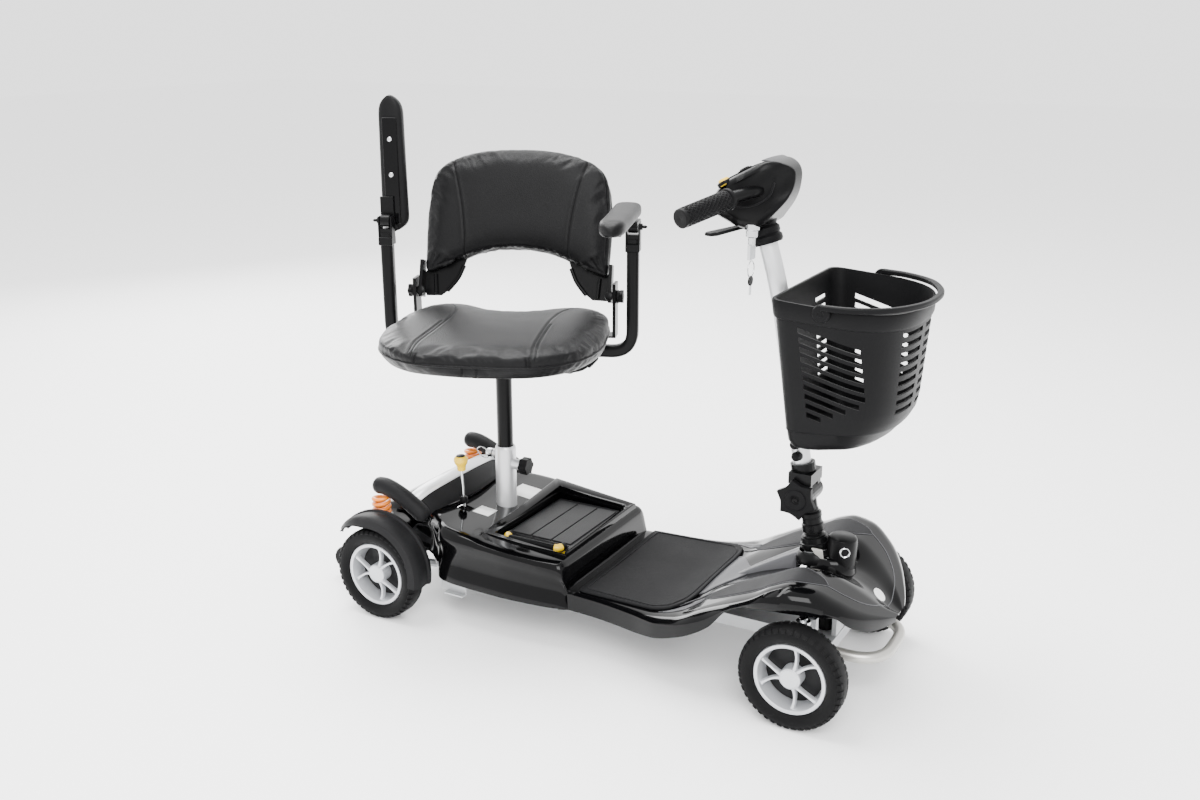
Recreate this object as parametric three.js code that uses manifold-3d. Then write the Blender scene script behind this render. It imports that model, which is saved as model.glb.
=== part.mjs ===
// A four-wheel boot scooter: split chassis, sprung wheels, swivel seat, folding tiller and basket.
// Millimetres. While it is drawn, +X is forward, +Y the rider's left, Z = 0 the ground, X = 0 the
// rear axle and Y = 0 the centre plane. The last lines move the middle of the footprint to the origin.
import * as THREE from "three";
import { mergeVertices } from "three/addons/utils/BufferGeometryUtils.js";
import Module from "manifold-3d";

const wasm = await Module();
wasm.setup();

// ---------------------------------------------------------------- driving dimensions
const GAP = 0.3; // air between two pieces that touch on the real scooter
const WHEEL = { radius: 89, tyreWidth: 44, rimRadius: 61.6, hubRadius: 19, axleRadius: 8 };
const WHEELBASE = 819;
const REAR = { wheelY: 202, springX: -30, springY: 152, pivotX: 112, pivotZ: 97 };
const FRONT = { wheelY: 187, kingpinY: 148, armX: 767 };
const FRAME = { halfWidth: 32, bottom: 62, top: 84 };
const SEAT = { x: 155.3, yaw: -69.7, base: 505, top: 555, hingeFwd: -111, hingeZ: 579, recline: 16.5 };
const POST = { radius: 15.2, socketRadius: 20, socketTop: 307, bottom: 172, top: 458 };
const ARM = { fwd: -65, lateral: 236, tube: 22, z: 484, pivotZ: 722, padLength: 255, padBehind: 24 };
const STEER = { x: 781, z: 243, tilt: 11 }; // a point on the steering axis, and its lean to the rear
const FOLD = { x: 764, z: 328 };
const TILLER = { radius: 15.5, bend: [697, 676], top: [669, 760] };
const BAR = { inner: [645, 75, 824], outer: [607, 178, 803], gripRadius: 15.5 };
const BASKET = { rear: 738, front: 940, rearLow: 760, frontLow: 925, halfTop: 143, halfLow: 112 };
const BASKET_Z = { rimRear: 686, rimFront: 672, floorRear: 436, floorFront: 452, wall: 3.5 };
const BATTERY = { x0: 206, x1: 348, halfWidth: 116, bottom: 84.6, top: 169 };
const FOOTPRINT_MIDDLE = { x: 383.7, y: -8.8 };

const rad = THREE.MathUtils.degToRad;
const v3 = (x, y, z) => new THREE.Vector3(x, y, z);

// ---------------------------------------------------------------- finishes
const finish = (color, roughness, metalness) => ({ color, roughness, metalness });
const LOOK = {
  frame: finish(0xb9bbbd, 0.45, 0.6),
  silver: finish(0xc4c6c8, 0.35, 0.8),
  steel: finish(0x9fa3a6, 0.35, 0.9),
  blackMetal: finish(0x101011, 0.4, 0.5),
  gloss: finish(0x060607, 0.12, 0.1),
  matte: finish(0x1b1b1c, 0.7, 0),
  mat: finish(0x2b2b2c, 0.85, 0),
  tyre: finish(0x161616, 0.9, 0),
  rim: finish(0xb5b7ba, 0.4, 0.7),
  vinyl: finish(0x1a1a1b, 0.55, 0),
  orange: finish(0xf08a10, 0.4, 0.2),
  yellow: finish(0xf2b90c, 0.5, 0),
};

// ---------------------------------------------------------------- solids
function solidOf(geometry) {
  const bare = geometry.index ? geometry.toNonIndexed() : geometry.clone();
  bare.deleteAttribute("normal");
  bare.deleteAttribute("uv");
  const merged = mergeVertices(bare, 1e-3);
  const vertProperties = new Float32Array(merged.attributes.position.array);
  const triVerts = new Uint32Array(merged.index.array);
  return new wasm.Manifold(new wasm.Mesh({ numProp: 3, vertProperties, triVerts }));
}

function geometryOf(solid) {
  const mesh = solid.getMesh();
  const points = new Float32Array(mesh.numVert * 3);
  for (let i = 0; i < mesh.numVert; i++) {
    points.set(mesh.vertProperties.subarray(i * mesh.numProp, i * mesh.numProp + 3), i * 3);
  }
  const geometry = new THREE.BufferGeometry();
  geometry.setAttribute("position", new THREE.BufferAttribute(points, 3));
  geometry.setIndex(new THREE.BufferAttribute(mesh.triVerts, 1));
  return geometry;
}

const join = (first, ...rest) => rest.reduce((sum, s) => sum.add(s), first);
const cut = (first, ...rest) => rest.reduce((left, s) => left.subtract(s), first);

function box(x0, x1, y0, y1, z0, z1) {
  const g = new THREE.BoxGeometry(x1 - x0, y1 - y0, z1 - z0);
  return solidOf(g.translate((x0 + x1) / 2, (y0 + y1) / 2, (z0 + z1) / 2));
}

// A round bar from one point to another.
function bar(from, to, radius, sides = 16, endRadius = radius) {
  const a = v3(...from);
  const b = v3(...to);
  const along = b.clone().sub(a);
  const g = new THREE.CylinderGeometry(endRadius, radius, along.length(), sides);
  g.applyQuaternion(new THREE.Quaternion().setFromUnitVectors(v3(0, 1, 0), along.clone().normalize()));
  const middle = a.add(b).multiplyScalar(0.5);
  return solidOf(g.translate(middle.x, middle.y, middle.z));
}

// A turned piece: profile points are [radius, height], revolved about the line through `at` along `axis`.
function turned(profile, at, axis, sides = 24) {
  const points = profile.map(([r, h]) => new THREE.Vector2(r, h));
  const g = new THREE.LatheGeometry(points, sides);
  g.rotateY(Math.PI / sides);
  g.applyQuaternion(new THREE.Quaternion().setFromUnitVectors(v3(0, 1, 0), v3(...axis).normalize()));
  return solidOf(g.translate(...at));
}

function roundedCurve(points, bendRadius) {
  const curve = new THREE.CurvePath();
  let start = v3(...points[0]);
  for (let i = 1; i < points.length - 1; i++) {
    const corner = v3(...points[i]);
    const next = v3(...points[i + 1]);
    const previous = v3(...points[i - 1]);
    const before = corner.clone().lerp(previous, bendRadius / corner.distanceTo(previous));
    const after = corner.clone().lerp(next, bendRadius / corner.distanceTo(next));
    curve.add(new THREE.LineCurve3(start, before));
    curve.add(new THREE.QuadraticBezierCurve3(before, corner, after));
    start = after;
  }
  curve.add(new THREE.LineCurve3(start, v3(...points.at(-1))));
  return curve;
}

function sectionShape(radius, sides, turn = 0) {
  const ring = [];
  for (let i = 0; i < sides; i++) {
    const a = turn + (2 * Math.PI * i) / sides;
    ring.push(new THREE.Vector2(radius * Math.cos(a), radius * Math.sin(a)));
  }
  return new THREE.Shape(ring);
}

function sweep(points, bendRadius, radius, sides = 10, steps = 24, turn = 0) {
  const extrudePath = roundedCurve(points, bendRadius);
  return solidOf(new THREE.ExtrudeGeometry(sectionShape(radius, sides, turn), { steps, extrudePath }));
}

// An outline of [x, y] points raised from z0 to z1.
function slab(outline, z0, z1, bevel = 0) {
  const shape = new THREE.Shape(outline.map(([x, y]) => new THREE.Vector2(x, y)));
  const options = { depth: z1 - z0 - 2 * bevel, bevelEnabled: bevel > 0, steps: 1 };
  Object.assign(options, { bevelSize: bevel, bevelThickness: bevel, bevelOffset: -bevel, bevelSegments: 2 });
  return solidOf(new THREE.ExtrudeGeometry(shape, options).translate(0, 0, z0 + bevel));
}

// A closed skin over cross-sections that all have the same number of points, in order along the piece.
function loft(sections) {
  const count = sections[0].length;
  const points = sections.flat().flat();
  const index = [];
  for (let s = 0; s + 1 < sections.length; s++) {
    for (let i = 0; i < count; i++) {
      const a = s * count + i;
      const b = s * count + ((i + 1) % count);
      index.push(a, b, a + count, b, b + count, a + count);
    }
  }
  const last = (sections.length - 1) * count;
  for (let i = 1; i + 1 < count; i++) {
    index.push(0, i + 1, i);
    index.push(last, last + i, last + i + 1);
  }
  const g = new THREE.BufferGeometry();
  g.setAttribute("position", new THREE.Float32BufferAttribute(points, 3));
  g.setIndex(index);
  const solid = solidOf(g);
  return solid.volume() > 0 ? solid : solidOf(g.setIndex(index.reverse()));
}

// Points of a smooth closed outline through a few [x, y] points.
function smoothOutline(points, count) {
  const curve = new THREE.CatmullRomCurve3(points.map(([x, y]) => v3(x, y, 0)), true, "centripetal");
  return curve.getSpacedPoints(count).slice(0, count).map((p) => [p.x, p.y]);
}

// The other half of an outline whose first and last points lie on the line y = 0.
const mirroredLoop = (half) => [...half, ...half.slice(1, -1).reverse().map(([x, y]) => [x, -y])];

// ---------------------------------------------------------------- the scene graph
const scooter = new THREE.Group();
const seatGroup = new THREE.Group(); // its own +X is the way the seat faces, +Y the sitter's left
seatGroup.position.set(SEAT.x, 0, 0);
seatGroup.rotation.z = rad(SEAT.yaw);
scooter.add(seatGroup);

function place(name, solid, look, parent = scooter) {
  const mesh = new THREE.Mesh(geometryOf(solid), new THREE.MeshStandardMaterial(LOOK[look]));
  mesh.name = name;
  parent.add(mesh);
  return mesh;
}

// ---------------------------------------------------------------- wheels
const TYRE_SIDES = 32; // a multiple of four, so that one facet lies flat on the ground
function tyre(x, y) {
  const half = WHEEL.tyreWidth / 2;
  const flat = WHEEL.radius / Math.cos(Math.PI / TYRE_SIDES);
  const profile = [
    [WHEEL.rimRadius + GAP, -16],
    [75, -half],
    [flat - 5.5, -half + 3],
    [flat, -9],
    [flat, 9],
    [flat - 5.5, half - 3],
    [75, half],
    [WHEEL.rimRadius + GAP, 16],
    [WHEEL.rimRadius + GAP, -16],
  ];
  return turned(profile, [x, y, WHEEL.radius], [0, 1, 0], TYRE_SIDES);
}

function rim(x, y, side) {
  const centre = [x, y, WHEEL.radius];
  const outer = WHEEL.rimRadius;
  const section = [[outer, -16], [outer, 16], [54, 16], [51, -16], [outer, -16]];
  const ring = turned(section, centre, [0, 1, 0], 24);
  const hub = bar([x, y - 17, WHEEL.radius], [x, y + 17, WHEEL.radius], WHEEL.hubRadius, 16);
  const spokes = [];
  for (let pair = 0; pair < 3; pair++) {
    for (const lean of [-1, 1]) {
      const tipAngle = rad(90 + 120 * pair + 24 * lean);
      const footAngle = rad(90 + 120 * pair + 12 * lean);
      const tip = [x + 53 * Math.cos(tipAngle), y + 8 * side, WHEEL.radius + 53 * Math.sin(tipAngle)];
      const foot = [x + 14 * Math.cos(footAngle), y + 9 * side, WHEEL.radius + 14 * Math.sin(footAngle)];
      spokes.push(bar(foot, tip, 5, 4));
    }
  }
  const boreFrom = [x, y - 40 * side, WHEEL.radius];
  const bore = bar(boreFrom, [x, y + 10 * side, WHEEL.radius], WHEEL.axleRadius + 0.5, 12);
  return cut(join(ring, hub, ...spokes), bore);
}

const SIDES = [["left", 1], ["right", -1]];

for (const [side, s] of SIDES) {
  place(`rear_tyre_${side}`, tyre(0, s * REAR.wheelY), "tyre");
  place(`rear_rim_${side}`, rim(0, s * REAR.wheelY, s), "rim");
  place(`front_tyre_${side}`, tyre(WHEELBASE, s * FRONT.wheelY), "tyre");
  place(`front_rim_${side}`, rim(WHEELBASE, s * FRONT.wheelY, s), "rim");
}

// ---------------------------------------------------------------- frame and bumper
const steerX = (z) => STEER.x - (z - STEER.z) * Math.tan(rad(STEER.tilt));
const steerPoint = (z) => [steerX(z), 0, z];
const steerAxis = [-Math.sin(rad(STEER.tilt)), 0, Math.cos(rad(STEER.tilt))];

function frame() {
  const { halfWidth, bottom, top } = FRAME;
  const parts = [
    box(96, 810, -halfWidth, halfWidth, bottom, top),
    box(96, 124, -80, 80, bottom, top - 2),
    box(100, 124, -20, 20, top - 2, REAR.pivotZ),
    bar([REAR.pivotX, -60, REAR.pivotZ], [REAR.pivotX, 60, REAR.pivotZ], 11, 16),
    box(803, 835, -124, 124, bottom, top),
    box(812, 834, -20, 20, 126, 175),
    box(826, 834, -20, 20, bottom, 140),
  ];
  for (const [, s] of SIDES) {
    const inner = s * 112;
    const outer = s * 124;
    parts.push(box(806, 832, Math.min(inner, outer), Math.max(inner, outer), bottom, 162));
    const neck = [s * 123, s * 142];
    parts.push(box(812, 826, Math.min(...neck), Math.max(...neck), 132, 160));
    parts.push(bar([WHEELBASE, s * FRONT.kingpinY, 130], [WHEELBASE, s * FRONT.kingpinY, 162], 13, 16));
    parts.push(bar([112, s * 74, 72], [-165, s * 92, 44], 8, 8));
    parts.push(bar([-165, s * 90, 44], [-165, s * 119, 44], 7.4, 10));
  }
  const headTube = bar(steerPoint(130), steerPoint(234), 21, 20);
  const solid = join(join(...parts), headTube);
  const holes = SIDES.map(([, s]) =>
    bar([WHEELBASE, s * FRONT.kingpinY, 100], [WHEELBASE, s * FRONT.kingpinY, 170], 7.6, 12),
  );
  return cut(solid, bar(steerPoint(86), steerPoint(260), 14.7, 20), ...holes);
}

function bumper() {
  return sweep([[836, 78, 88], [929, 78, 86], [929, -78, 86], [836, -78, 88]], 45, 10, 8, 16);
}

function antiTipWheel(s) {
  const profile = [[8, -8], [22, -8], [24, -4], [24, 4], [22, 8], [8, 8], [8, -8]];
  return turned(profile, [-165, s * 110, 44], [0, 1, 0], 16);
}

place("frame", frame(), "frame");
place("bumper_loop", bumper(), "silver");
for (const [side, s] of SIDES) place(`anti_tip_wheel_${side}`, antiTipWheel(s), "matte");

// ---------------------------------------------------------------- rear axle and its springs
function transaxle() {
  const z = WHEEL.radius;
  const parts = [
    bar([0, -26, z], [0, 26, z], 38, 18),
    bar([-40, -44, 108], [-40, 30, 108], 26, 16),
    bar([0, -170, z], [0, 170, z], 12, 12),
    bar([0, -210, z], [0, 210, z], WHEEL.axleRadius, 12),
  ];
  for (const [, s] of SIDES) {
    const y = [s * 62, s * 70];
    parts.push(box(-6, REAR.pivotX + 8, Math.min(...y), Math.max(...y), 83, 105));
    parts.push(bar([0, s * 132, 89], [REAR.springX, s * REAR.springY, 170], 8, 10));
    parts.push(bar([REAR.springX, s * REAR.springY, 168], [REAR.springX, s * REAR.springY, 182], 21, 16));
  }
  return join(...parts);
}

// An arch over the tyre that starts low in front, clears the tyre for its travel and ends in a tail.
function fender(s) {
  const outer = [];
  const inner = [];
  const first = -6;
  const last = 146;
  const steps = 12;
  for (let i = 0; i <= steps; i++) {
    const t = i / steps;
    const a = rad(first + (last - first) * t);
    const r = 98 + 19 * Math.sin((Math.PI / 2) * t);
    outer.push([r * Math.cos(a), WHEEL.radius + r * Math.sin(a)]);
    inner.push([(r - 3.5) * Math.cos(a), WHEEL.radius + (r - 3.5) * Math.sin(a)]);
  }
  const outline = [...outer, ...inner.reverse()];
  const arch = slab(outline, 0, 50);
  const stand = new THREE.Matrix4().makeRotationX(Math.PI / 2);
  const shell = solidOf(geometryOf(arch).applyMatrix4(stand).translate(0, s > 0 ? 224 : -174, 0));
  const towardAxle = outer.map(([x, z]) => [x * 0.72, WHEEL.radius + (z - WHEEL.radius) * 0.72]);
  const web = slab([...outer, ...towardAxle.reverse()], 0, 3.5);
  const inboard = solidOf(geometryOf(web).applyMatrix4(stand).translate(0, s > 0 ? 178 : -174.5, 0));
  return join(shell, inboard);
}

function rearSpring(s) {
  return bar([REAR.springX, s * REAR.springY, 182.3], [REAR.springX, s * REAR.springY, 223.7], 18, 14);
}

place("transaxle", transaxle(), "blackMetal");
for (const [side, s] of SIDES) {
  place(`rear_fender_${side}`, fender(s), "matte");
  place(`rear_spring_${side}`, rearSpring(s), "orange");
}

// The bridge that holds both spring tops: a thick padded bar each side and a bowed band between them.
function springBridge() {
  const parts = [];
  for (const [, s] of SIDES) {
    const y = s * REAR.springY;
    parts.push(sweep([[-46, y, 240.5], [20, y, 240.5], [78, y * 0.95, 192]], 30, 16, 8, 6));
    parts.push(box(60, 104, Math.min(y * 0.62, y * 0.98), Math.max(y * 0.62, y * 0.98), 176, 190));
  }
  const band = [[30, 150, 226], [52, 90, 238], [58, 0, 242], [52, -90, 238], [30, -150, 226]];
  const path = new THREE.CatmullRomCurve3(band.map((p) => v3(...p)));
  const corners = [[-3, -16], [3, -16], [3, 16], [-3, 16]];
  const section = new THREE.Shape(corners.map(([x, y]) => new THREE.Vector2(x, y)));
  parts.push(solidOf(new THREE.ExtrudeGeometry(section, { steps: 10, extrudePath: path })));
  return join(...parts);
}

// ---------------------------------------------------------------- body shells
// A body cross-section at x: lower width, upper width, shoulder height and top height.
function bodySection(x, low, high, bottom, shoulder, top) {
  return [
    [x, -low, bottom],
    [x, -low, shoulder],
    [x, -high, top - 3],
    [x, -high + 6, top],
    [x, high - 6, top],
    [x, high, top - 3],
    [x, low, shoulder],
    [x, low, bottom],
  ];
}

const REAR_SECTIONS = [
  [-78, 98, 94, 118, 140, 172],
  [-62, 116, 110, 116, 160, 202],
  [0, 122, 116, 118, 180, 218],
  [62, 126, 120, 112, 180, 214],
  [104, 152, 132, 92, 150, 198],
  [128, 177, 146, 88, 140, 190],
  [200, 180, 157, 86, 138, 178],
  [300, 176, 158, 85, 130, 168],
  [356, 168, 157, 85, 124, 160],
  [380, 160, 155, 85, 110, 124],
];

const FRONT_SECTIONS = [
  [384, 166, 158, 85, 112, 120],
  [480, 172, 164, 84, 112, 120],
  [560, 188, 176, 88, 112, 120],
  [604, 196, 184, 100, 116, 120],
  [636, 199, 184, 114, 132, 140],
  [670, 200, 180, 132, 158, 170],
  [712, 198, 176, 158, 182, 200],
  [770, 194, 168, 176, 204, 222],
  [820, 188, 160, 178, 206, 224],
  [868, 168, 138, 160, 186, 208],
  [905, 128, 104, 148, 168, 188],
  [930, 92, 76, 142, 156, 168],
  [940, 74, 62, 142, 148, 156],
];

// The hollow of a shell: the same sections, drawn in by the wall and open below.
function shell(rows, wall) {
  const outer = loft(rows.map((row) => bodySection(...row)));
  const inner = rows.map(([x, low, high, bottom, shoulder, top], i) => {
    const end = i === 0 ? wall : i === rows.length - 1 ? -wall : 0;
    return bodySection(x + end, low - wall, high - wall, bottom - 40, shoulder - wall, top - wall);
  });
  return cut(outer, loft(inner));
}

function rearBody() {
  const recess = box(BATTERY.x0 - 1, BATTERY.x1 + 1, -BATTERY.halfWidth - 1, BATTERY.halfWidth + 1, 90, 300);
  const socketHole = bar([SEAT.x, 0, 90], [SEAT.x, 0, 300], POST.socketRadius + GAP, 20);
  const leverSlot = box(92, 118, -78, -60, 90, 300);
  const bridgeClear = SIDES.map(([, s]) => box(58, 106, s > 0 ? 90 : -152, s > 0 ? 152 : -90, 175.7, 240));
  const bandClear = box(20, 70, -110, 110, 216, 260);
  return cut(shell(REAR_SECTIONS, 3.5), recess, socketHole, leverSlot, ...bridgeClear, bandClear);
}

function frontBody() {
  const wells = SIDES.map(([, s]) => box(712, 926, s > 0 ? 103 : -260, s > 0 ? 260 : -103, 0, 194));
  const steerHole = bar(steerPoint(150), steerPoint(300), 30, 24);
  return cut(shell(FRONT_SECTIONS, 3.5), steerHole, ...wells);
}

function floorMat() {
  const half = [[412, 150], [560, 160], [600, 168]];
  const whole = [...half, ...half.slice().reverse().map(([x, y]) => [x, -y])];
  return slab(whole.reverse(), 120 + GAP, 125);
}

place("spring_bridge", springBridge(), "matte");
place("rear_body", rearBody(), "gloss");
place("front_body", frontBody(), "gloss");
place("floor_mat", floorMat(), "mat");

// ---------------------------------------------------------------- battery
function batteryPack() {
  const { x0, x1, halfWidth, bottom, top } = BATTERY;
  const body = box(x0, x1, -halfWidth, halfWidth, bottom, top);
  const notch = box(x0 + 6, x1 - 6, -halfWidth - 1, -halfWidth + 34, top - 12, top + 1);
  return cut(body, notch);
}

function batteryHandle() {
  const y = -BATTERY.halfWidth + 12;
  const z = BATTERY.top - 1;
  const x0 = BATTERY.x0 + 12;
  const x1 = BATTERY.x1 - 12;
  const reach = 18;
  return sweep([[x0, y + reach, z], [x0, y, z], [x1, y, z], [x1, y + reach, z]], 8, 5.5, 6, 12);
}

place("battery_pack", batteryPack(), "matte");
place("battery_handle", batteryHandle(), "matte");

// ---------------------------------------------------------------- seat mast
function seatSocket() {
  const tube = bar([SEAT.x, 0, FRAME.top + GAP], [SEAT.x, 0, POST.socketTop], POST.socketRadius, 24);
  const boss = bar([SEAT.x + 12, 0, 272], [SEAT.x + 36, 0, 272], 10, 12);
  const pinBoss = bar([SEAT.x - 12, 0, 286], [SEAT.x - 28, 0, 286], 8, 12);
  const bore = bar([SEAT.x, 0, 110], [SEAT.x, 0, 320], POST.radius + 0.7, 24);
  const pinHole = bar([SEAT.x - 40, 0, 286], [SEAT.x - 10, 0, 286], 4.4, 10);
  return cut(join(tube, boss, pinBoss), bore, pinHole);
}

function lobedKnob(at, axis, radius, depth, lobes = 6) {
  const outline = [];
  const count = lobes * 4;
  for (let i = 0; i < count; i++) {
    const a = (2 * Math.PI * i) / count;
    const r = radius * (1 - 0.13 * (i % 4 === 0 ? 1 : i % 4 === 2 ? -0.2 : 0));
    outline.push([r * Math.cos(a), r * Math.sin(a)]);
  }
  const g = geometryOf(slab(outline, 0, depth));
  g.applyQuaternion(new THREE.Quaternion().setFromUnitVectors(v3(0, 0, 1), v3(...axis).normalize()));
  return solidOf(g.translate(...at));
}

function seatPin() {
  const z = 286;
  const shaft = bar([SEAT.x - 44, 0, z], [SEAT.x - 17.5, 0, z], 3.8, 10);
  const head = bar([SEAT.x - 44, 0, z], [SEAT.x - 29, 0, z], 9, 12);
  return join(shaft, head);
}

function freewheelLever() {
  const rod = bar([105, -69, 176], [99, -69, 292], 4, 8);
  const knob = bar([100, -69, 270], [98.5, -69, 302], 11, 12, 9);
  const hub = bar([105, -77, 176], [105, -61, 176], 8, 12);
  return join(rod, knob, hub);
}

place("seat_socket", seatSocket(), "silver");
place("seat_post", bar([SEAT.x, 0, POST.bottom], [SEAT.x, 0, POST.top], POST.radius, 24), "blackMetal");
place("post_clamp_knob", lobedKnob([SEAT.x + 36 + GAP, 0, 272], [1, 0, 0], 17, 18), "matte");
place("post_lock_pin", seatPin(), "steel");
place("freewheel_lever", freewheelLever(), "yellow");

// ---------------------------------------------------------------- front suspension and steering
for (const [side, s] of SIDES) {
  const y = s * FRONT.kingpinY;
  const at = (z) => [WHEELBASE, y, z];
  const pin = join(bar(at(60), at(174), 7, 12), bar(at(58), at(67), 13, 14), bar(at(162.3), at(169), 12, 14));
  place(`kingpin_${side}`, pin, "steel");
  const post = bar(at(67.3), at(106), 13, 16);
  const axleZ = WHEEL.radius;
  const stub = bar([WHEELBASE, s * 155, axleZ], [WHEELBASE, s * 197, axleZ], WHEEL.axleRadius, 16);
  const armEnd = FRONT.armX - 6;
  const armPlan = [[armEnd, y - s * 5 - 6], [armEnd, y - s * 5 + 6], [WHEELBASE, y + 6], [WHEELBASE, y - 6]];
  const arm = slab(armPlan, 98.5, 106);
  place(`knuckle_${side}`, cut(join(post, stub, arm), bar(at(50), at(120), 7.6, 12)), "blackMetal");
  const spring = cut(bar(at(106.3), at(129.7), 12, 16), bar(at(90), at(140), 7.9, 12));
  place(`front_spring_${side}`, spring, "steel");
}

function steeringStem() {
  const shaft = bar(steerPoint(87), steerPoint(300), 14, 20);
  const collar = bar(steerPoint(236), steerPoint(252), 23, 20);
  const pitmanEnd = FRONT.armX - 5;
  const pitmanPlan = [[pitmanEnd, -7], [pitmanEnd, 7], [steerX(102), 7], [steerX(102), -7]];
  const pitman = slab(pitmanPlan, 98.5, 106);
  const ear = bar([FOLD.x, -13, FOLD.z], [FOLD.x, 13, FOLD.z], 17, 20);
  const neck = bar(steerPoint(296), [FOLD.x, 0, FOLD.z], 13, 16);
  return join(shaft, collar, pitman, ear, neck);
}

function tieRod() {
  const y = FRONT.kingpinY - 5;
  return bar([FRONT.armX, -y, 91], [FRONT.armX, y, 91], 4.5, 10);
}

place("steering_stem", steeringStem(), "blackMetal");
place("tie_rod", tieRod(), "steel");
place("fold_lock_knob", lobedKnob([756, -28, 324], [0, -1, 0], 36, 14, 8), "matte");

// ---------------------------------------------------------------- tiller
function foldKnuckle() {
  const ears = SIDES.map(([, s]) => bar([FOLD.x, s * 13.4, FOLD.z], [FOLD.x, s * 27, FOLD.z], 17, 20));
  const cap = box(738, 778, -27, 27, 348, 368);
  const tilt = -Math.tan(rad(STEER.tilt));
  const cheeks = SIDES.map(([, s]) => {
    const y = [s * 13.4, s * 27];
    return box(742, 776, Math.min(...y), Math.max(...y), FOLD.z, 356);
  });
  const sleeve = bar([755, 0, 366], [755 + 14 * tilt, 0, 380], 21, 20);
  const bore = bar([757.5, 0, 348], [748, 0, 400], TILLER.radius + 1.4, 16);
  return cut(join(cap, ...ears, ...cheeks, sleeve), bore);
}

function tillerTube() {
  const path = [[755.6, 0, 356], [TILLER.bend[0], 0, TILLER.bend[1]], [TILLER.top[0], 0, TILLER.top[1]]];
  const tube = sweep(path, 45, TILLER.radius, 14, 10);
  const hanger = [box(712, 738, -9, 9, 560, 584), box(732, 740, -38, 38, 545, 600)];
  const clips = [394, 412].map((z) => {
    const x = 749 - (z - 394) * 0.19;
    return bar([x, -28, z], [x, 28, z], 4, 8);
  });
  return join(tube, ...hanger, ...clips);
}

const TOP_NORMAL = [-0.51, 0, 0.86];
const HORN_AT = [622, -42, 837];
const alongNormal = (at, distance) => at.map((c, i) => c + TOP_NORMAL[i] * distance);

// A wedge console: low at the rear, high at the front, wide in the middle.
function consoleHousing() {
  const side = [
    [592, 792], [600, 822], [640, 846], [684, 872], [716, 874], [728, 862],
    [716, 828], [700, 800], [684, 764], [654, 756], [630, 772],
  ];
  const stand = new THREE.Matrix4().makeRotationX(Math.PI / 2);
  const half = 62;
  const profile = geometryOf(slab(side.reverse(), 0, 2 * half, 8));
  const wedge = solidOf(profile.applyMatrix4(stand).translate(0, half, 0));
  const [x, z] = TILLER.top;
  const throat = bar([x + 14, 0, z - 44], [x - 2, 0, z + 4], TILLER.radius + 2.4, 16);
  const hornWell = bar(alongNormal(HORN_AT, -4), alongNormal(HORN_AT, 12), 9.6, 16);
  return cut(wedge, throat, hornWell, handlebar(11));
}

function handlebar(radius = 10) {
  const { inner, outer } = BAR;
  const points = [
    [outer[0], -outer[1], outer[2]],
    [inner[0], -inner[1], inner[2]],
    [668, -40, 830],
    [668, 40, 830],
    [inner[0], inner[1], inner[2]],
    [outer[0], outer[1], outer[2]],
  ];
  return sweep(points, 12, radius, 8, 18);
}

function grip(s) {
  const a = v3(BAR.inner[0], s * BAR.inner[1], BAR.inner[2]);
  const b = v3(BAR.outer[0], s * BAR.outer[1], BAR.outer[2]);
  const from = a.clone().lerp(b, 0.1);
  const to = a.clone().lerp(b, 1.06);
  const solid = bar(from.toArray(), to.toArray(), BAR.gripRadius, 16);
  return cut(solid, bar(a.toArray(), b.clone().lerp(a, -0.02).toArray(), 10.8, 12));
}

// A flat paddle under the console, pushed on either side with a thumb.
function throttleLever() {
  const pivot = 634;
  const tip = [[626, 96], [618, 104], [608, 100], [607, 92]];
  const half = [[pivot + 9, 0], [pivot + 9, 14], ...tip, [pivot - 10, 14]];
  const outline = [...half, ...half.slice(1).reverse().map(([x, y]) => [x, -y])];
  const plate = slab(smoothOutline(outline, 24), 744, 750);
  return join(plate, bar([pivot, 0, 749], [pivot, 0, 757], 7, 12));
}

function hornButton() {
  return bar(alongNormal(HORN_AT, GAP), alongNormal(HORN_AT, 8), 9, 16, 8);
}

function ignitionKey() {
  const stem = bar([664, -42, 757], [664, -42, 744], 6, 12);
  const bow = box(661.5, 666.5, -53, -31, 722, 746);
  return join(stem, bow);
}

function spareKey() {
  const ring = new THREE.TorusGeometry(13, 1.6, 5, 12);
  const loop = solidOf(ring.rotateY(Math.PI / 2).translate(664, -42, 704));
  const blade = box(662.8, 665.2, -46, -38, 664, 694);
  const head = box(662.5, 665.5, -51, -33, 676, 694);
  return join(loop, blade, head);
}

function onTop(solidMaker, at) {
  return solidMaker(alongNormal(at, GAP), TOP_NORMAL);
}

place("fold_knuckle", foldKnuckle(), "blackMetal");
place("tiller_tube", tillerTube(), "silver");
place("console_housing", consoleHousing(), "gloss");
place("handlebar", handlebar(), "blackMetal");
for (const [side, s] of SIDES) place(`grip_${side}`, grip(s), "matte");
place("throttle_lever", throttleLever(), "matte");
place("horn_button", hornButton(), "yellow");
place("speed_dial", onTop((at, axis) => lobedKnob(at, axis, 13, 11, 8), [624, 36, 838]), "matte");
place("ignition_key", ignitionKey(), "steel");
place("spare_key", spareKey(), "steel");

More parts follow.
